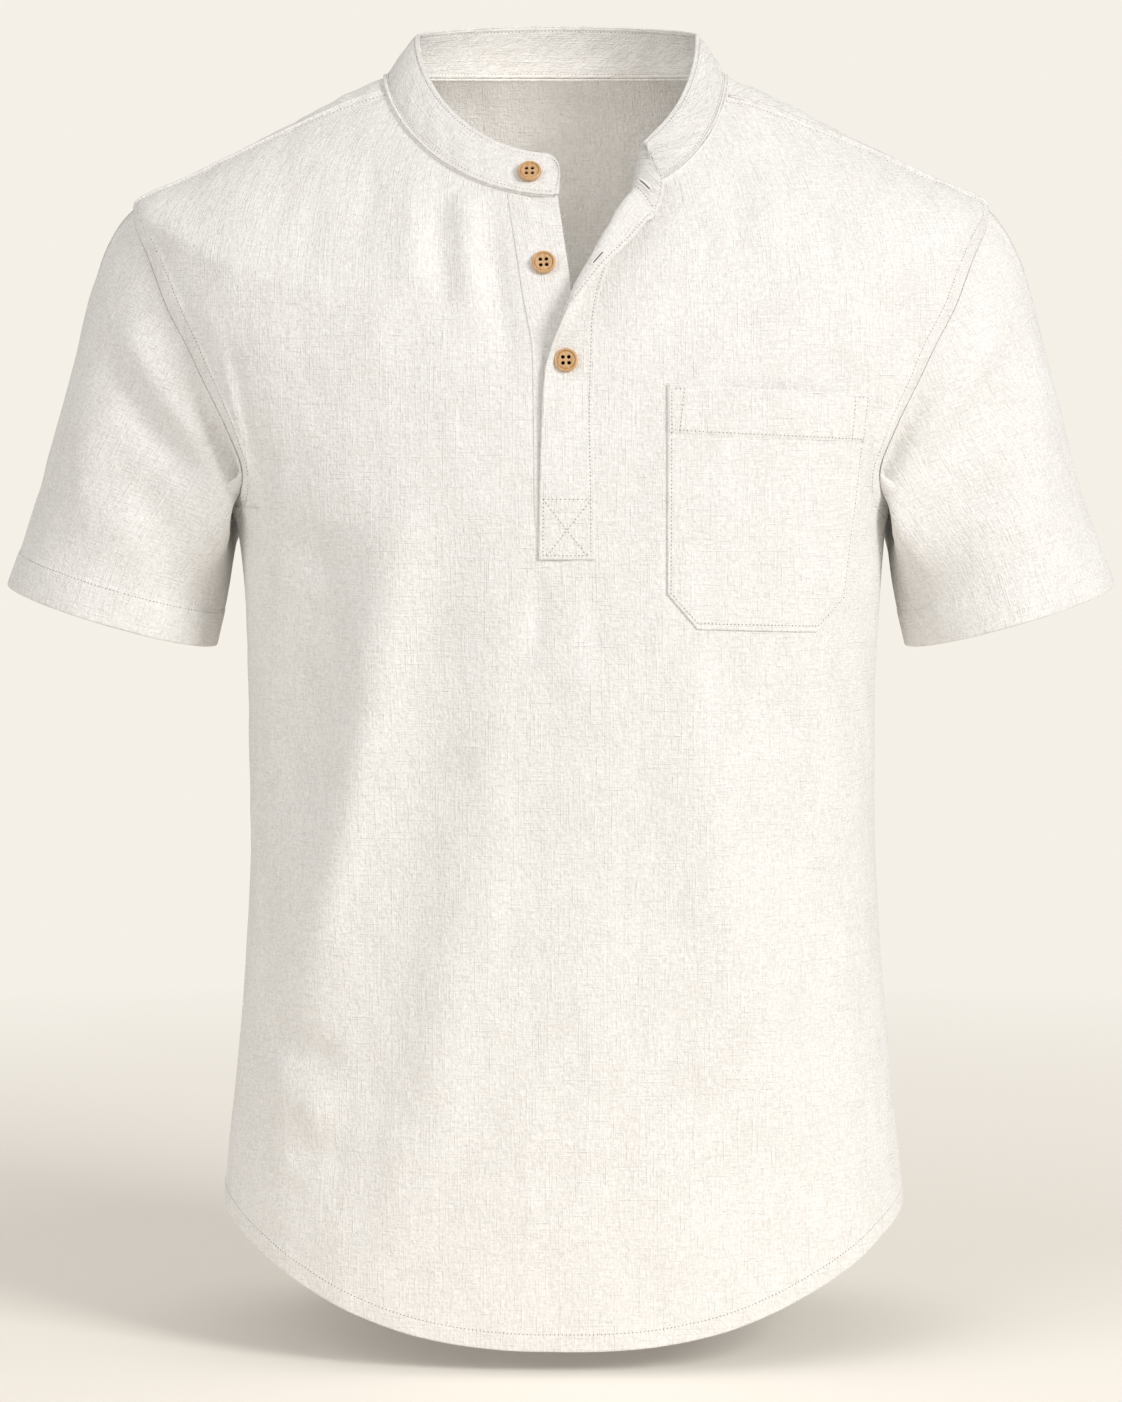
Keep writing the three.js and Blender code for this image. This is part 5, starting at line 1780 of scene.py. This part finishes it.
@dataclass
class OverPlacket:
    """The buttonhole side's placket: sewn below, and turned open above."""

    wardrobe: Wardrobe
    length_cells: int = 96
    width_cells: int = 26
    half: float = 0.00055
    box: float = 0.032               # the height of its sewn box
    sunk: float = 0.0006             # how far its sewn edge is drawn in

    def line(self, part: str, index: Array) -> Line:
        """Its seam, its roll or its free edge at places along the table, and the ways out.

        Args:
            part: `seam`, `roll` or `edge`.
            index: Places along the table, in rows.

        Returns:
            The points and the ways out of the front there.
        """
        x, z = OVER_PLACKET.read(f"{part}_x", index), OVER_PLACKET.read(f"{part}_z", index)
        sewn = part == "seam"
        out = np.full(index.shape, -self.sunk) if sewn else OVER_PLACKET.read(f"{part}_out", index)
        at, outs = front_at(x, z)
        return laid(at, outs, PLACKET_LIFT - PLACKET_SINK + out), outs

    def sections(self, index: Array) -> Array:
        """Sections at places along the placket's table."""
        seam, roll, edge = (self.line(part, index) for part in ("seam", "roll", "edge"))
        return turned_sections(seam[0], roll[0], edge[0], roll[1], OVER_PLACKET.read("turn", index))

    def neck_section(self) -> Array:
        """The section along the band's sewn edge, a little below it."""
        seam, _ = self.line("seam", np.array([len(OVER_PLACKET.values) - 1.0]))
        return turned_sections(seam, *band_end(0.0), BAND_OUT[None], np.array([90.0]))[0]

    def surface(self) -> Surface:
        """The placket's surface."""
        last = len(OVER_PLACKET.values) - 1
        fine = np.linspace(0.0, last, 400)
        along = travelled(self.line("roll", fine)[0])
        rows = with_lines(spread(along[-1], self.length_cells, Edge.STITCHED, Edge.PLAIN), self.box)
        index = np.interp(rows, along, fine)
        sections = self.sections(index)
        top = self.neck_section()
        under = sections[-1]
        top = top - unit(top - under) * 0.0009
        join = ease((index - last + 0.55) / 0.55)[:, None, None]
        sections = sections + (top - under) * join
        places = lambda length: spread(length, self.width_cells, Edge.STITCHED, Edge.STITCHED)
        points = np.stack([along_curve(section, places) for section in sections])
        across = travelled(points, 1)
        flat = np.stack([0.3 + across, np.broadcast_to(rows[:, None], across.shape)], axis=-1)
        surface = Surface.over(points, (0, -1, 0), flat)
        crumple = Crinkle(0.009, 0.016, 0.00022, 61, 0.4).at(across, rows[:, None])
        inside = surface.from_edges()
        surface.points = laid(surface.points, surface.outs, crumple * ease(inside / 0.004))
        half = self.half - pulled(inside, STITCH_INSET, 0.0001)
        surface.half = rounded(inside, half)
        self.box_row = float(np.abs(rows - self.box).argmin())
        return surface

    def seams(self, surface: Surface) -> list[Line]:
        """Its stitches: up its sewn edge, round its box, and the cross in it.

        Args:
            surface: The placket's surface.

        Returns:
            The lines, for the thread.
        """
        rows, columns = surface.last()
        low, left, right = STITCH_LINE, STITCH_LINE, columns - STITCH_LINE
        up = np.arange(low, rows - 1)
        run = np.linspace(0.0, 1.0, 40)
        return [
            surface.trace(up, left),
            surface.trace(np.arange(low, self.box_row + 1), right),
            surface.trace(np.arange(self.box_row + 12, rows - 1), right, -1.0),
            surface.trace(low, np.arange(left, right + 1)),
            surface.trace(self.box_row, np.arange(left, right + 1)),
            surface.trace(mix(low, self.box_row, run), mix(left, right, run)),
            surface.trace(mix(low, self.box_row, run), mix(right, left, run)),
        ]

    def build(self) -> Piece:
        """Makes the placket, its stitches and its buttonhole."""
        surface = self.surface()
        piece = Cloth.shell("placket_over_cloth", surface)
        dress(piece, self.wardrobe.linen, Slot.LINEN, "placket_over")
        thread = self.wardrobe.sewing()
        thread.sew("stitches_placket_over", self.seams(surface))
        self.surface_made = surface
        row, column = surface.nearest(0.0196, -0.1045, slice(22, None))
        up = np.arange(row - 2.4, row + 2.45, 0.3)
        Buttonhole(self.wardrobe, "buttonhole_placket").build(surface.trace(up, column, -1.0))
        return piece


@dataclass
class UnderPlacket:
    """The button side's placket, over the front's slot."""

    wardrobe: Wardrobe
    width_cells: int = 16
    half: float = 0.0005
    overlap: float = 0.001

    def build(self, levels: Array) -> Piece:
        """Makes it over the body's own rows of levels.

        Args:
            levels: The levels of the body's rows.

        Returns:
            The finished placket.
        """
        levels = levels[levels >= ARMPIT_LEVEL - 0.024]
        z = Form.ring(levels).front_z
        tuck = ease((ARMPIT_LEVEL - levels) / 0.02) * 0.0022
        seam = UNDER_PLACKET.read("seam", z) - self.overlap + tuck
        edge = UNDER_PLACKET.read("edge", z)
        width = float((edge - seam).mean())
        across = spread(width, self.width_cells, Edge.STITCHED, Edge.PLAIN)
        level = np.broadcast_to(levels[:, None], (len(levels), len(across)))
        x = mix(seam[:, None], edge[:, None], across / width)
        angle = Form.angle_of_x(level, x)
        points, outs = front_cloth(level, angle)
        place = Form.point(level, angle)
        crease = Fold(((-21, -70), (-10, -76.5), (-1, -80)), -1.1, 3.5, 3.5, 0.4)
        ridge = Fold(((-22, -78), (-10, -85), (0, -89)), 0.6, 4, 4, 0.4)
        side = Fold(((-19, -86), (-15.5, -110), (-11.5, -150)), 0.6, 4, 5, 0.4)
        lift = 0.00045 + sum(fold.at(place[..., 0], place[..., 2]) for fold in (crease, ridge, side))
        points = laid(points, outs, lift)
        up = travelled(points[:, 0])
        flat = np.stack(np.broadcast_arrays(0.4 + across[None], up[:, None]), axis=-1)
        surface = Surface.over(points, (0, -1, 0), flat)
        surface.half = rounded(surface.from_edges(), self.half)
        piece = Cloth.shell("placket_under_cloth", surface)
        return dress(piece, self.wardrobe.linen, Slot.LINEN, "placket_under")


@dataclass
class Piping:
    """Rolled cloth let into a seam, as a fine bead along it."""

    wardrobe: Wardrobe
    name: str
    radius: float = 0.00085

    def build(self, points: Array, outs: Array) -> Piece:
        """Makes the bead along a line, with its middle on it.

        Args:
            points: The line's points.
            outs: The ways out of the cloth there.

        Returns:
            The finished bead.
        """
        at, out = resampled(points, outs, 0.0014)
        aside = unit(np.cross(out, np.gradient(at, axis=0)))
        places = spread(2 * self.radius, 3, Edge.PLAIN, Edge.PLAIN) - self.radius
        length = float(np.linalg.norm(np.diff(at, axis=0), axis=1).sum())
        along = np.linspace(0.0, length, len(at))
        flat = np.stack(np.broadcast_arrays(1.3 + places[:, None], along[None]), axis=-1)
        ways = np.broadcast_to(out, (len(places), *out.shape))
        surface = Surface(at + aside * places[:, None, None], ways, flat)
        round_half = np.sqrt(np.maximum(self.radius ** 2 - places ** 2, 0.0))[:, None]
        ends = np.minimum(along, along[::-1])
        surface.half = np.minimum(round_half, rounded(ends, self.radius)[None])
        piece = Cloth.shell(self.name, surface)
        return dress(piece, self.wardrobe.linen, Slot.LINEN)

    @classmethod
    def all(cls, wardrobe: Wardrobe) -> None:
        """Makes the beads round the neck and along both shoulders."""
        angles = np.linspace(Band.start + 0.6, 360.0 + 56.5, 700)
        low = Form.point(NECK_LEVEL, angles)
        outward = low * np.array([1.0, 1.0, 0.0])
        outs = unit(unit(outward) + 0.8 * Form.out(np.full(angles.shape, NECK_LEVEL), angles))
        cls(wardrobe, "piping_neck", 0.0011).build(low + outs * 0.0014, outs)
        level = np.linspace(TIP_LEVEL, NECK_LEVEL - 0.0012, 200)
        for side, name in ((1, "piping_shoulder_left"), (-1, "piping_shoulder_right")):
            angle = SEAMS.shoulder(level)
            angle = angle if side > 0 else 180.0 - angle
            outs = Form.out(level, angle)
            cls(wardrobe, name, 0.00095).build(Form.point(level, angle) + outs * 0.001, outs)


# ---- band collar


@dataclass
class Band:
    """The band collar, from its rounded button end to its turned-over end."""

    wardrobe: Wardrobe
    length_cells: int = 236
    height_cells: int = 16
    turned_cells: int = 18           # columns of its sewn edge that are free, at its turned-over end
    half: float = 0.00105
    gap: float = 0.0004              # above the neck's seam
    rim: float = 0.0012              # beside its edges, where the turned-in cloth keeps it plain
    thinner: float = 0.86            # its middle, as a share of its rim's thickness
    crown: float = 0.0012            # how far its middle swells out
    start: float = 89.2              # its rounded end, in degrees on the neck
    arc: float = 7.2
    corner: float = 0.0112           # its upper corner: how high
    corner_wide: float = 0.0072      # and how wide it is rounded

    def point(self, angle: Array, rise: Numbers) -> Array:
        """Points of the band: rise 0 is its sewn edge and 1 its upper edge.

        Args:
            angle: Degrees round the neck.
            rise: The share of the way up.

        Returns:
            The points.
        """
        low = Form.point(NECK_LEVEL, angle)
        up = COLLAR_TOP.point(angle) - low
        lift = self.gap / np.linalg.norm(up, axis=-1)
        outward = low - np.array([-0.003, 0.0, 0.0])
        outward[..., 2] = 0.0
        share = mix(lift, 1.0, rise)[..., None]
        swell = np.asarray(self.crown * 4 * rise * (1 - rise))[..., None]
        return low + up * share + unit(outward) * swell

    def row(self, share: float) -> Array:
        """One row's points along the band.

        Args:
            share: The row's share of the band's height.

        Returns:
            Its points, from the button end to the free edge.
        """
        first = np.array([self.start])
        height = np.linalg.norm(self.point(first, 1.0) - self.point(first, 0.0))
        reach = np.linalg.norm(self.point(first + self.arc, 1.0) - self.point(first, 1.0))
        part = np.linspace(0.0, 1.0, 90) ** 1.6
        inside = np.minimum(part * reach / self.corner_wide, 1.0)
        cut = self.corner * (1 - np.sqrt(1 - (1 - inside) ** 2))
        end = self.point(self.start + part * self.arc, share * (1 - cut / height))
        leave = 360.0 + float(BAND_END.read("start", share))
        angles = np.linspace(self.start + self.arc, leave, 700)[1:]
        loop = self.point(angles, share)
        roll, edge = band_end(share)
        turned = turned_sections(loop[-1:], roll, edge, BAND_OUT[None], np.array([90.0]))[0]
        return np.concatenate([end, loop, turned[1:]])

    def surface(self) -> Surface:
        """The band's surface."""
        side = np.array([200.0])
        height = float(np.linalg.norm(self.point(side, 1.0) - self.point(side, 0.0)))
        rises = spread(height, self.height_cells, Edge.STITCHED, Edge.STITCHED)
        places = lambda length: spread(length, self.length_cells, Edge.STITCHED, Edge.STITCHED)
        points = np.stack([along_curve(self.row(share), places) for share in rises / height])
        along = travelled(points, 1)
        up = np.broadcast_to(rises[:, None], along.shape)
        surface = Surface.over(points, (0, 1, 0.4), np.stack([0.7 + up, along], axis=-1))
        inside = surface.from_edges()
        pucker = (Crinkle(0.006, 0.022, 0.0005, 71, 0.9).at(along, up)
                  + Crinkle(0.01, 0.03, 0.00035, 72, -0.5).at(along, up)
                  + Crinkle(0.0035, 0.01, 0.00016, 73, 0.7).at(along, up))
        height = pucker * ease((inside - self.rim) / 0.004)
        surface.points = laid(surface.points, surface.outs, height)
        half = self.half * mix(1.0, self.thinner, ease((inside - self.rim - 0.0002) / self.rim))
        surface.half = rounded(inside, half - pulled(inside, STITCH_INSET, 0.0003))
        return surface

    def build(self) -> Piece:
        """Makes the band, its stitches and its buttonhole."""
        surface = self.surface()
        piece = Cloth.shell("band_collar", surface)
        dress(piece, self.wardrobe.linen, Slot.LINEN, "collar_outer", "collar_inner")
        rows, columns = surface.last()
        low, top, left, right = STITCH_LINE, rows - STITCH_LINE, STITCH_LINE, columns - STITCH_LINE
        across, up = np.arange(left, right + 1), np.arange(low, top + 1)
        lines = []
        for side in (1.0, -1.0):
            lines += [surface.trace(row, across, side) for row in (low, top)]
            lines += [surface.trace(up, column, side) for column in (left, right)]
        self.wardrobe.sewing().sew("stitches_band", lines)
        free = slice(-2, columns - self.turned_cells, -1)
        edges = ((slice(None), 0), (-1, slice(1, None)), (slice(-2, None, -1), -1), (0, free))
        points, outs = (np.concatenate([grid[edge] for edge in edges])
                        for grid in (surface.points, surface.outs))
        Piping(self.wardrobe, "rolled_edge_band", 0.00075).build(points, outs)
        row, column = surface.nearest(0.0462, -0.0655, slice(columns - 15, columns - 6))
        slit = np.arange(column - 3.0, column + 2.6, 0.3)
        Buttonhole(self.wardrobe, "buttonhole_band").build(surface.trace(row, slit, -1.0))
        return piece


@dataclass
class Buttonhole:
    """A worked buttonhole: a slit, shown as a dark bead of painted shade, between two close rows of
    stitches.
    """

    wardrobe: Wardrobe
    name: str
    length: float = 0.0092
    apart: float = 0.0009            # from the slit to the middle of each row of stitches

    def build(self, line: Line) -> Piece:
        """Makes it along a line on the cloth, about the line's middle.

        Args:
            line: The line's points and the ways out there.

        Returns:
            The finished stitches.
        """
        along = travelled(line[0])
        middle = along[-1] / 2
        at = np.linspace(middle - self.length / 2, middle + self.length / 2, 24)
        points, outs = (read_along(part, along, at) for part in line)
        outs = unit(outs)
        run = unit(points[-1] - points[0])
        aside = unit(np.cross(outs, run))
        thread = self.wardrobe.sewing(SATIN)
        bar = np.linspace(-0.0013, 0.0013, 6)[:, None]
        ends = [(points[i] + aside[i] * bar, np.repeat(outs[i][None], len(bar), axis=0))
                for i in (0, -1)]
        rows = [(points + aside * side, outs) for side in (self.apart, -self.apart)]
        piece = thread.sew(self.name, rows + ends)
        # The cut is not opened: its shade is painted on a dark bead laid over the cloth.
        self.slit(points, outs, run)
        return piece

    def slit(self, points: Array, outs: Array, run: Array) -> None:
        """A dark bead of painted shade that stands in for the cut between the stitches.

        Args:
            points: The slit's line.
            outs: The ways out of the cloth there.
            run: The way it runs.
        """
        middle = len(points) // 2
        side = unit(np.cross(outs[middle], run))
        frame_of = Matrix((side, np.cross(run, side), run)).transposed().to_4x4()
        sized = Matrix.Diagonal((0.00036, 0.00022, self.length / 2, 1.0))
        moved = Matrix.Translation(Vector(points[middle] + outs[middle] * 0.00012))
        bm = bmesh.new()
        bmesh.ops.create_uvsphere(bm, u_segments=10, v_segments=12, radius=1.0,
                                  matrix=moved @ frame_of @ sized)
        dress(modelled(f"{self.name}_slit", bm), self.wardrobe.hole, Slot.LINEN)


# ---- pocket


@dataclass
class Pocket:
    """The chest pocket, with its folded band and cut corners."""

    wardrobe: Wardrobe
    top_left: tuple[float, float] = (0.0564, -0.1715)
    top_right: tuple[float, float] = (0.166, -0.1765)
    bottom_left: tuple[float, float] = (0.0562, -0.282)
    bottom_right: tuple[float, float] = (0.1524, -0.286)
    chamfer_x: float = 0.016
    chamfer_z: float = 0.0185
    band: float = 0.024
    cells: int = 40
    half: float = 0.00058
    band_half: float = 0.00095
    gape: float = 0.0016             # how far its mouth stands open
    clear: float = 0.00005           # between it and the front

    def surface(self) -> Surface:
        """The pocket's surface, over the front's folds."""
        width = self.top_right[0] - self.top_left[0]
        depth = self.top_left[1] - self.bottom_left[1]
        across = spread(width, self.cells, Edge.STITCHED, Edge.STITCHED) / width
        narrow = self.bottom_right[0] - self.bottom_left[0]
        kink = self.chamfer_x / narrow
        for place in (kink, 1 - kink):
            across[np.abs(across - place).argmin()] = place
        lines = [self.band + step for step in (-0.0006, 0.0, 0.0006, 0.0013)]
        downs = with_lines(spread(depth, self.cells, Edge.STITCHED, Edge.STITCHED), *lines) / depth
        corners = np.array([self.top_left, self.top_right, self.bottom_left, self.bottom_right])
        u, v = across[None, :, None], downs[:, None, None]
        place = mix(mix(corners[0], corners[1], u), mix(corners[2], corners[3], u), v)
        inside = np.minimum(np.minimum(across, 1 - across) * narrow / self.chamfer_x, 1.0)
        x, z = place[..., 0], place[..., 1] - inside[None] * self.chamfer_z * downs[:, None] ** 3
        points, outs = front_at(x, z)
        flat = np.stack([0.9 + x, z], axis=-1)
        surface = Surface(points, outs, flat)
        edge = surface.from_edges()
        band = 1 - ease((downs * depth - self.band - 0.0004) / 0.001)[:, None]
        half = mix(self.half, self.band_half, band) * np.ones_like(x)
        gape = self.gape * (np.sin(np.pi * across)[None] ** 1.5) * bell(downs * depth, 0.022)[:, None]
        own = Crinkle(0.02, 0.03, 0.0005, 81, 0.2).at(x, z) * ease(edge / 0.01)
        height = PLY / 2 + self.clear + half + gape + np.maximum(own, -0.0001)
        surface.points = laid(points, outs, height)
        inset = pulled(np.minimum(edge, 0.01 * np.ones_like(edge)), STITCH_INSET, 0.00015)
        seam = pulled(downs * depth, self.band, 0.00022)[:, None]
        surface.half = rounded(edge, half - inset - seam)
        self.band_row = float(np.abs(downs * depth - self.band).argmin())
        return surface

    def build(self) -> Piece:
        """Makes the pocket and its stitches."""
        surface = self.surface()
        piece = Cloth.shell("pocket_cloth", surface)
        dress(piece, self.wardrobe.linen, Slot.LINEN, "pocket")
        rows, columns = surface.last()
        left, right, low, high = STITCH_LINE, columns - STITCH_LINE, rows - STITCH_LINE, STITCH_LINE
        down = np.arange(high, low + 1)
        run = np.linspace(0.0, 1.0, 20)
        corner = mix(high, self.band_row, run)
        self.wardrobe.sewing().sew("stitches_pocket", [
            surface.trace(down, left),
            surface.trace(down, right),
            surface.trace(low, np.arange(left, right + 1)),
            surface.trace(self.band_row, np.arange(left, right + 1)),
            surface.trace(high, mix(left, left + 4.2, run)),
            surface.trace(high, mix(right - 4.2, right, run)),
            surface.trace(corner, mix(left + 4.2, left + 3.2, run)),
            surface.trace(corner, mix(right - 4.2, right - 4.2, run)),
        ])
        return piece


# ---- buttons


@dataclass
class Button:
    """A turned wooden button with a raised rim and four sewing holes."""

    HOLES: ClassVar[tuple[tuple[int, int], ...]] = ((1, 1), (1, -1), (-1, 1), (-1, -1))

    wardrobe: Wardrobe
    name: str
    radius: float = 0.0064
    thick: float = 0.003
    rim: float = 0.0012
    dish: float = 0.0008
    hole: float = 0.00104
    lip: float = 0.00018
    spacing: float = 0.0016
    steps: int = 56

    def profile(self) -> list[tuple[float, float]]:
        """The section from the edge of the flat back, round the rim, to the dished face.

        Returns:
            Distances from the axis, and heights.
        """
        r, t = self.radius, self.thick
        inner, floor = r - self.rim, t - self.dish
        return [
            (r - 0.0014, 0.0), (r - 0.0006, 0.00018), (r - 0.00015, 0.0007), (r, 0.0013),
            (r - 0.00004, t - 0.0009), (r - 0.00022, t - 0.00035), (r - 0.0005, t - 0.00008),
            (r - 0.0008, t), (inner + 0.00012, t - 0.0001), (inner - 0.00006, floor + 0.0002),
            (inner - 0.00022, floor - 0.0003), (inner - 0.00045, floor - 0.0003),
            (inner - 0.00062, floor + 0.00006), (inner - 0.0009, floor + 0.00014),
            (inner - 0.0013, floor + 0.00014),
        ]

    def build(self, at: Array, out: Array, turn: float) -> Piece:
        """Makes the button on the cloth.

        Args:
            at: The middle of its back.
            out: The way its face looks.
            turn: How far it is turned about that, in degrees.

        Returns:
            The finished button.
        """
        bm = bmesh.new()
        chain = [bm.verts.new((x, 0.0, z)) for x, z in self.profile()]
        edges = [bm.edges.new(pair) for pair in zip(chain, chain[1:])]
        bmesh.ops.spin(bm, geom=chain + edges, cent=(0, 0, 0), axis=(0, 0, 1), angle=2 * math.pi,
                       steps=self.steps, use_merge=True)
        bmesh.ops.remove_doubles(bm, verts=bm.verts[:], dist=1e-7)
        rims = {0.0: [], self.profile()[-1][1]: []}
        for edge in bm.edges:
            if edge.is_boundary:
                nearest = min(rims, key=lambda height: abs(height - edge.verts[0].co.z))
                rims[nearest].append(edge)
        loops = []
        for height, rim in rims.items():
            holes = []
            for x, y in self.HOLES:
                place = Matrix.Translation((x * self.spacing, y * self.spacing, height))
                ring = bmesh.ops.create_circle(bm, segments=14, radius=self.hole, matrix=place)
                wires = [edge for edge in bm.edges if edge.is_wire]
                holes.append([edge for edge in wires if edge.verts[0] in ring["verts"]])
            bmesh.ops.triangle_fill(bm, use_beauty=True, edges=rim + sum(holes, []))
            loops.append(holes)
        walls = []
        for back, face in zip(*loops):
            walls += bmesh.ops.bridge_loops(bm, edges=back + face)["faces"]
        bmesh.ops.recalc_face_normals(bm, faces=bm.faces[:])
        lips = [edge for holes in loops[1:] for ring in holes for edge in ring if edge.is_valid]
        bmesh.ops.bevel(bm, geom=lips, offset=self.lip, segments=2, profile=0.5, affect="EDGES",
                        material=-1)
        # Thin discs low in each hole, and the holes' walls, take a near-black painted shade in place of
        # the wood.
        for x, y in self.HOLES:
            place = Matrix.Translation((x * self.spacing, y * self.spacing, self.thick * 0.3))
            pad = bmesh.ops.create_cone(bm, cap_ends=True, segments=14, radius1=self.hole + 0.0001,
                                        radius2=self.hole + 0.0001, depth=0.0003, matrix=place)
            walls += {face for vert in pad["verts"] for face in vert.link_faces}
        for face in walls:
            if face.is_valid:
                face.material_index = 1
        turned = Vector((0, 0, 1)).rotation_difference(Vector(out)).to_matrix().to_4x4()
        placed = Matrix.Translation(Vector(at)) @ turned @ Matrix.Rotation(math.radians(turn), 4, "Z")
        bmesh.ops.transform(bm, matrix=placed, verts=bm.verts[:])
        for face in bm.faces:
            face.smooth = True
        button = modelled(f"{self.name}_wood", bm)
        dark = [face.material_index for face in button.data.polygons]
        dress(button, self.wardrobe.wood, Slot.WOOD, self.name)
        # The second material is the near-black painted shade inside the holes.
        button.data.materials.append(self.wardrobe.bore_shade)
        button.data.polygons.foreach_set("material_index", dark)
        return button


@dataclass
class ButtonRow:
    """The three buttons, each laid on the piece it is sewn to."""

    wardrobe: Wardrobe
    seat: float = 0.0002

    def put(self, name: str, piece: Piece, at: Array, out: Array, turn: float) -> None:
        """Lays one button on a piece near a point."""
        points, _ = Feeler(piece).lay(at[None], out[None])
        Button(self.wardrobe, name).build(points[0] + out * self.seat, out, turn)

    def build(self, band: Band, band_piece: Piece, under: Piece,
              over: Piece) -> None:
        """Makes all three.

        Args:
            band: The band collar.
            band_piece: Its finished piece.
            under: The button side's placket.
            over: The buttonhole side's placket.
        """
        angle = np.array([99.5])
        at = band.point(angle, 0.46)[0]
        along = (band.point(angle + 2, 0.46) - band.point(angle - 2, 0.46))[0]
        up = (band.point(angle, 0.56) - band.point(angle, 0.36))[0]
        self.put("button_collar", band_piece, at, unit(np.cross(up, along)), -2.0)
        for name, piece, x, z, turn in (("button_middle", under, -0.0093, -0.1072, 3.0),
                                        ("button_lower", over, 0.0026, -0.1589, 2.0)):
            level, angle = Form.front_place(np.array([x]), np.array([z]))
            at, _ = front_cloth(level, angle)
            self.put(name, piece, at[0], Form.out(level, angle)[0], turn)
            below = np.linspace(z - 0.0058, z - 0.0098, 8)
            keeper = Feeler(piece).lay(*front_at(np.full(8, x - 0.0006), below))
            self.wardrobe.sewing(SATIN).sew(f"keeper_{name}", [keeper])


# ---- camera, light and floor


@dataclass(frozen=True)
class Studio:
    """A pale floor under the hem, soft light from the upper right, and the camera."""

    floor_z: float = -0.7005
    distance: float = 2.6
    elevation: float = 4.0
    aim_z: float = -0.348
    lens: float = 149.33
    floor_colour: Triple = (0.915, 0.869, 0.803)
    floor_glow: float = 0.11
    backdrop: Triple = (0.915, 0.873, 0.8)

    def camera(self) -> None:
        """The camera, a little above the middle of the shirt."""
        data = bpy.data.cameras.new("camera")
        data.lens = self.lens
        data.sensor_width = 36.0
        data.sensor_fit = "HORIZONTAL"
        data.clip_end = 50.0
        camera = linked("camera", data)
        rise = math.radians(self.elevation)
        away = Vector((0.0, -math.cos(rise), math.sin(rise)))
        camera.location = Vector((0.0, 0.0, self.aim_z)) + away * self.distance
        camera.rotation_euler = (-away).to_track_quat("-Z", "Y").to_euler()
        bpy.context.scene.camera = camera

    def light(self, name: str, place: Sequence[float], aim: Sequence[float], size: float, power: float,
              colour: Sequence[float]) -> None:
        """One soft square light that looks at a point.

        Args:
            name: The light's name.
            place: Where it stands.
            aim: The point it looks at.
            size: The side of its square.
            power: Its power in watts.
            colour: Its colour.
        """
        data = bpy.data.lights.new(name, "AREA")
        data.energy = power
        data.size = size
        data.color = colour
        lamp = linked(name, data)
        lamp.location = place
        lamp.visible_camera = False
        aim = Vector(aim) - Vector(place)
        lamp.rotation_euler = aim.to_track_quat("-Z", "Y").to_euler()

    def world(self, ambient: float) -> None:
        """An even, pale surround: what the camera sees, and a dimmer fill for the cloth."""
        world = bpy.data.worlds.new("surround")
        world.use_nodes = True
        bpy.context.scene.world = world
        nodes, links = world.node_tree.nodes, world.node_tree.links
        seen = nodes["Background"]
        seen.inputs["Color"].default_value = (*self.backdrop, 1.0)
        fill = nodes.new("ShaderNodeBackground")
        fill.inputs["Color"].default_value = (1.0, 0.975, 0.94, 1.0)
        fill.inputs["Strength"].default_value = ambient
        path = nodes.new("ShaderNodeLightPath")
        both = nodes.new("ShaderNodeMixShader")
        links.new(path.outputs["Is Camera Ray"], both.inputs[0])
        links.new(fill.outputs[0], both.inputs[1])
        links.new(seen.outputs[0], both.inputs[2])
        links.new(both.outputs[0], nodes["World Output"].inputs["Surface"])

    def floor(self) -> None:
        """A round pale floor that fades out, so that it has no horizon."""
        bm = bmesh.new()
        bmesh.ops.create_circle(bm, cap_ends=True, segments=96, radius=1.6,
                                matrix=Matrix.Translation((0.0, 0.0, self.floor_z)))
        floor = modelled("floor", bm)
        shader = Shader("pale_floor")
        place = shader.add("ShaderNodeTexCoord").outputs["Object"]
        flat = shader.add("ShaderNodeMapping", Vector=place, Scale=(1.0, 1.0, 0.0)).outputs["Vector"]
        far = shader.add("ShaderNodeVectorMath", {"operation": "LENGTH"}, at_0=flat).outputs["Value"]
        floor.data.materials.append(shader.finish(
            Base_Color=(*self.floor_colour, 1.0), Emission_Color=(*self.backdrop, 1.0),
            Emission_Strength=self.floor_glow, Roughness=0.9, Specular_IOR_Level=0.0,
            Alpha=shader.ramp(far, 0.45, 1.5, 1.0, 0.0)))

    def build(self) -> None:
        """Sets the whole studio."""
        self.camera()
        self.world(0.49)
        middle = (0.0, 0.0, self.aim_z)
        self.light("key", (2.5, -2.4, 1.3), middle, 1.3, 86.0, (1.0, 0.992, 0.972))
        self.light("fill", (-2.45, -2.05, 1.3), middle, 3.0, 33.5, (1.0, 0.985, 0.96))
        inside, back = (-0.02, -0.004, -0.052), (-0.01, 0.12, -0.062)
        self.light("neck", inside, back, 0.05, 0.054, (1.0, 0.95, 0.88))
        self.floor()
        bpy.context.scene.view_settings.view_transform = "Standard"


def main() -> None:
    """Builds the shirt, piece by piece, and the studio round it."""
    logging.basicConfig(level=logging.INFO, format="%(name)s %(relativeCreated)d ms %(message)s")
    wardrobe = Wardrobe()
    Studio().build()
    body = Body(wardrobe)
    body.build()
    for side in (1.0, -1.0):
        Sleeve(wardrobe, side).build()
    over = OverPlacket(wardrobe).build()
    under = UnderPlacket(wardrobe).build(body.levels)
    band = Band(wardrobe)
    band_piece = band.build()
    Piping.all(wardrobe)
    Pocket(wardrobe).build()
    ButtonRow(wardrobe).build(band, band_piece, under, over)


if __name__ == "__main__":
    main()
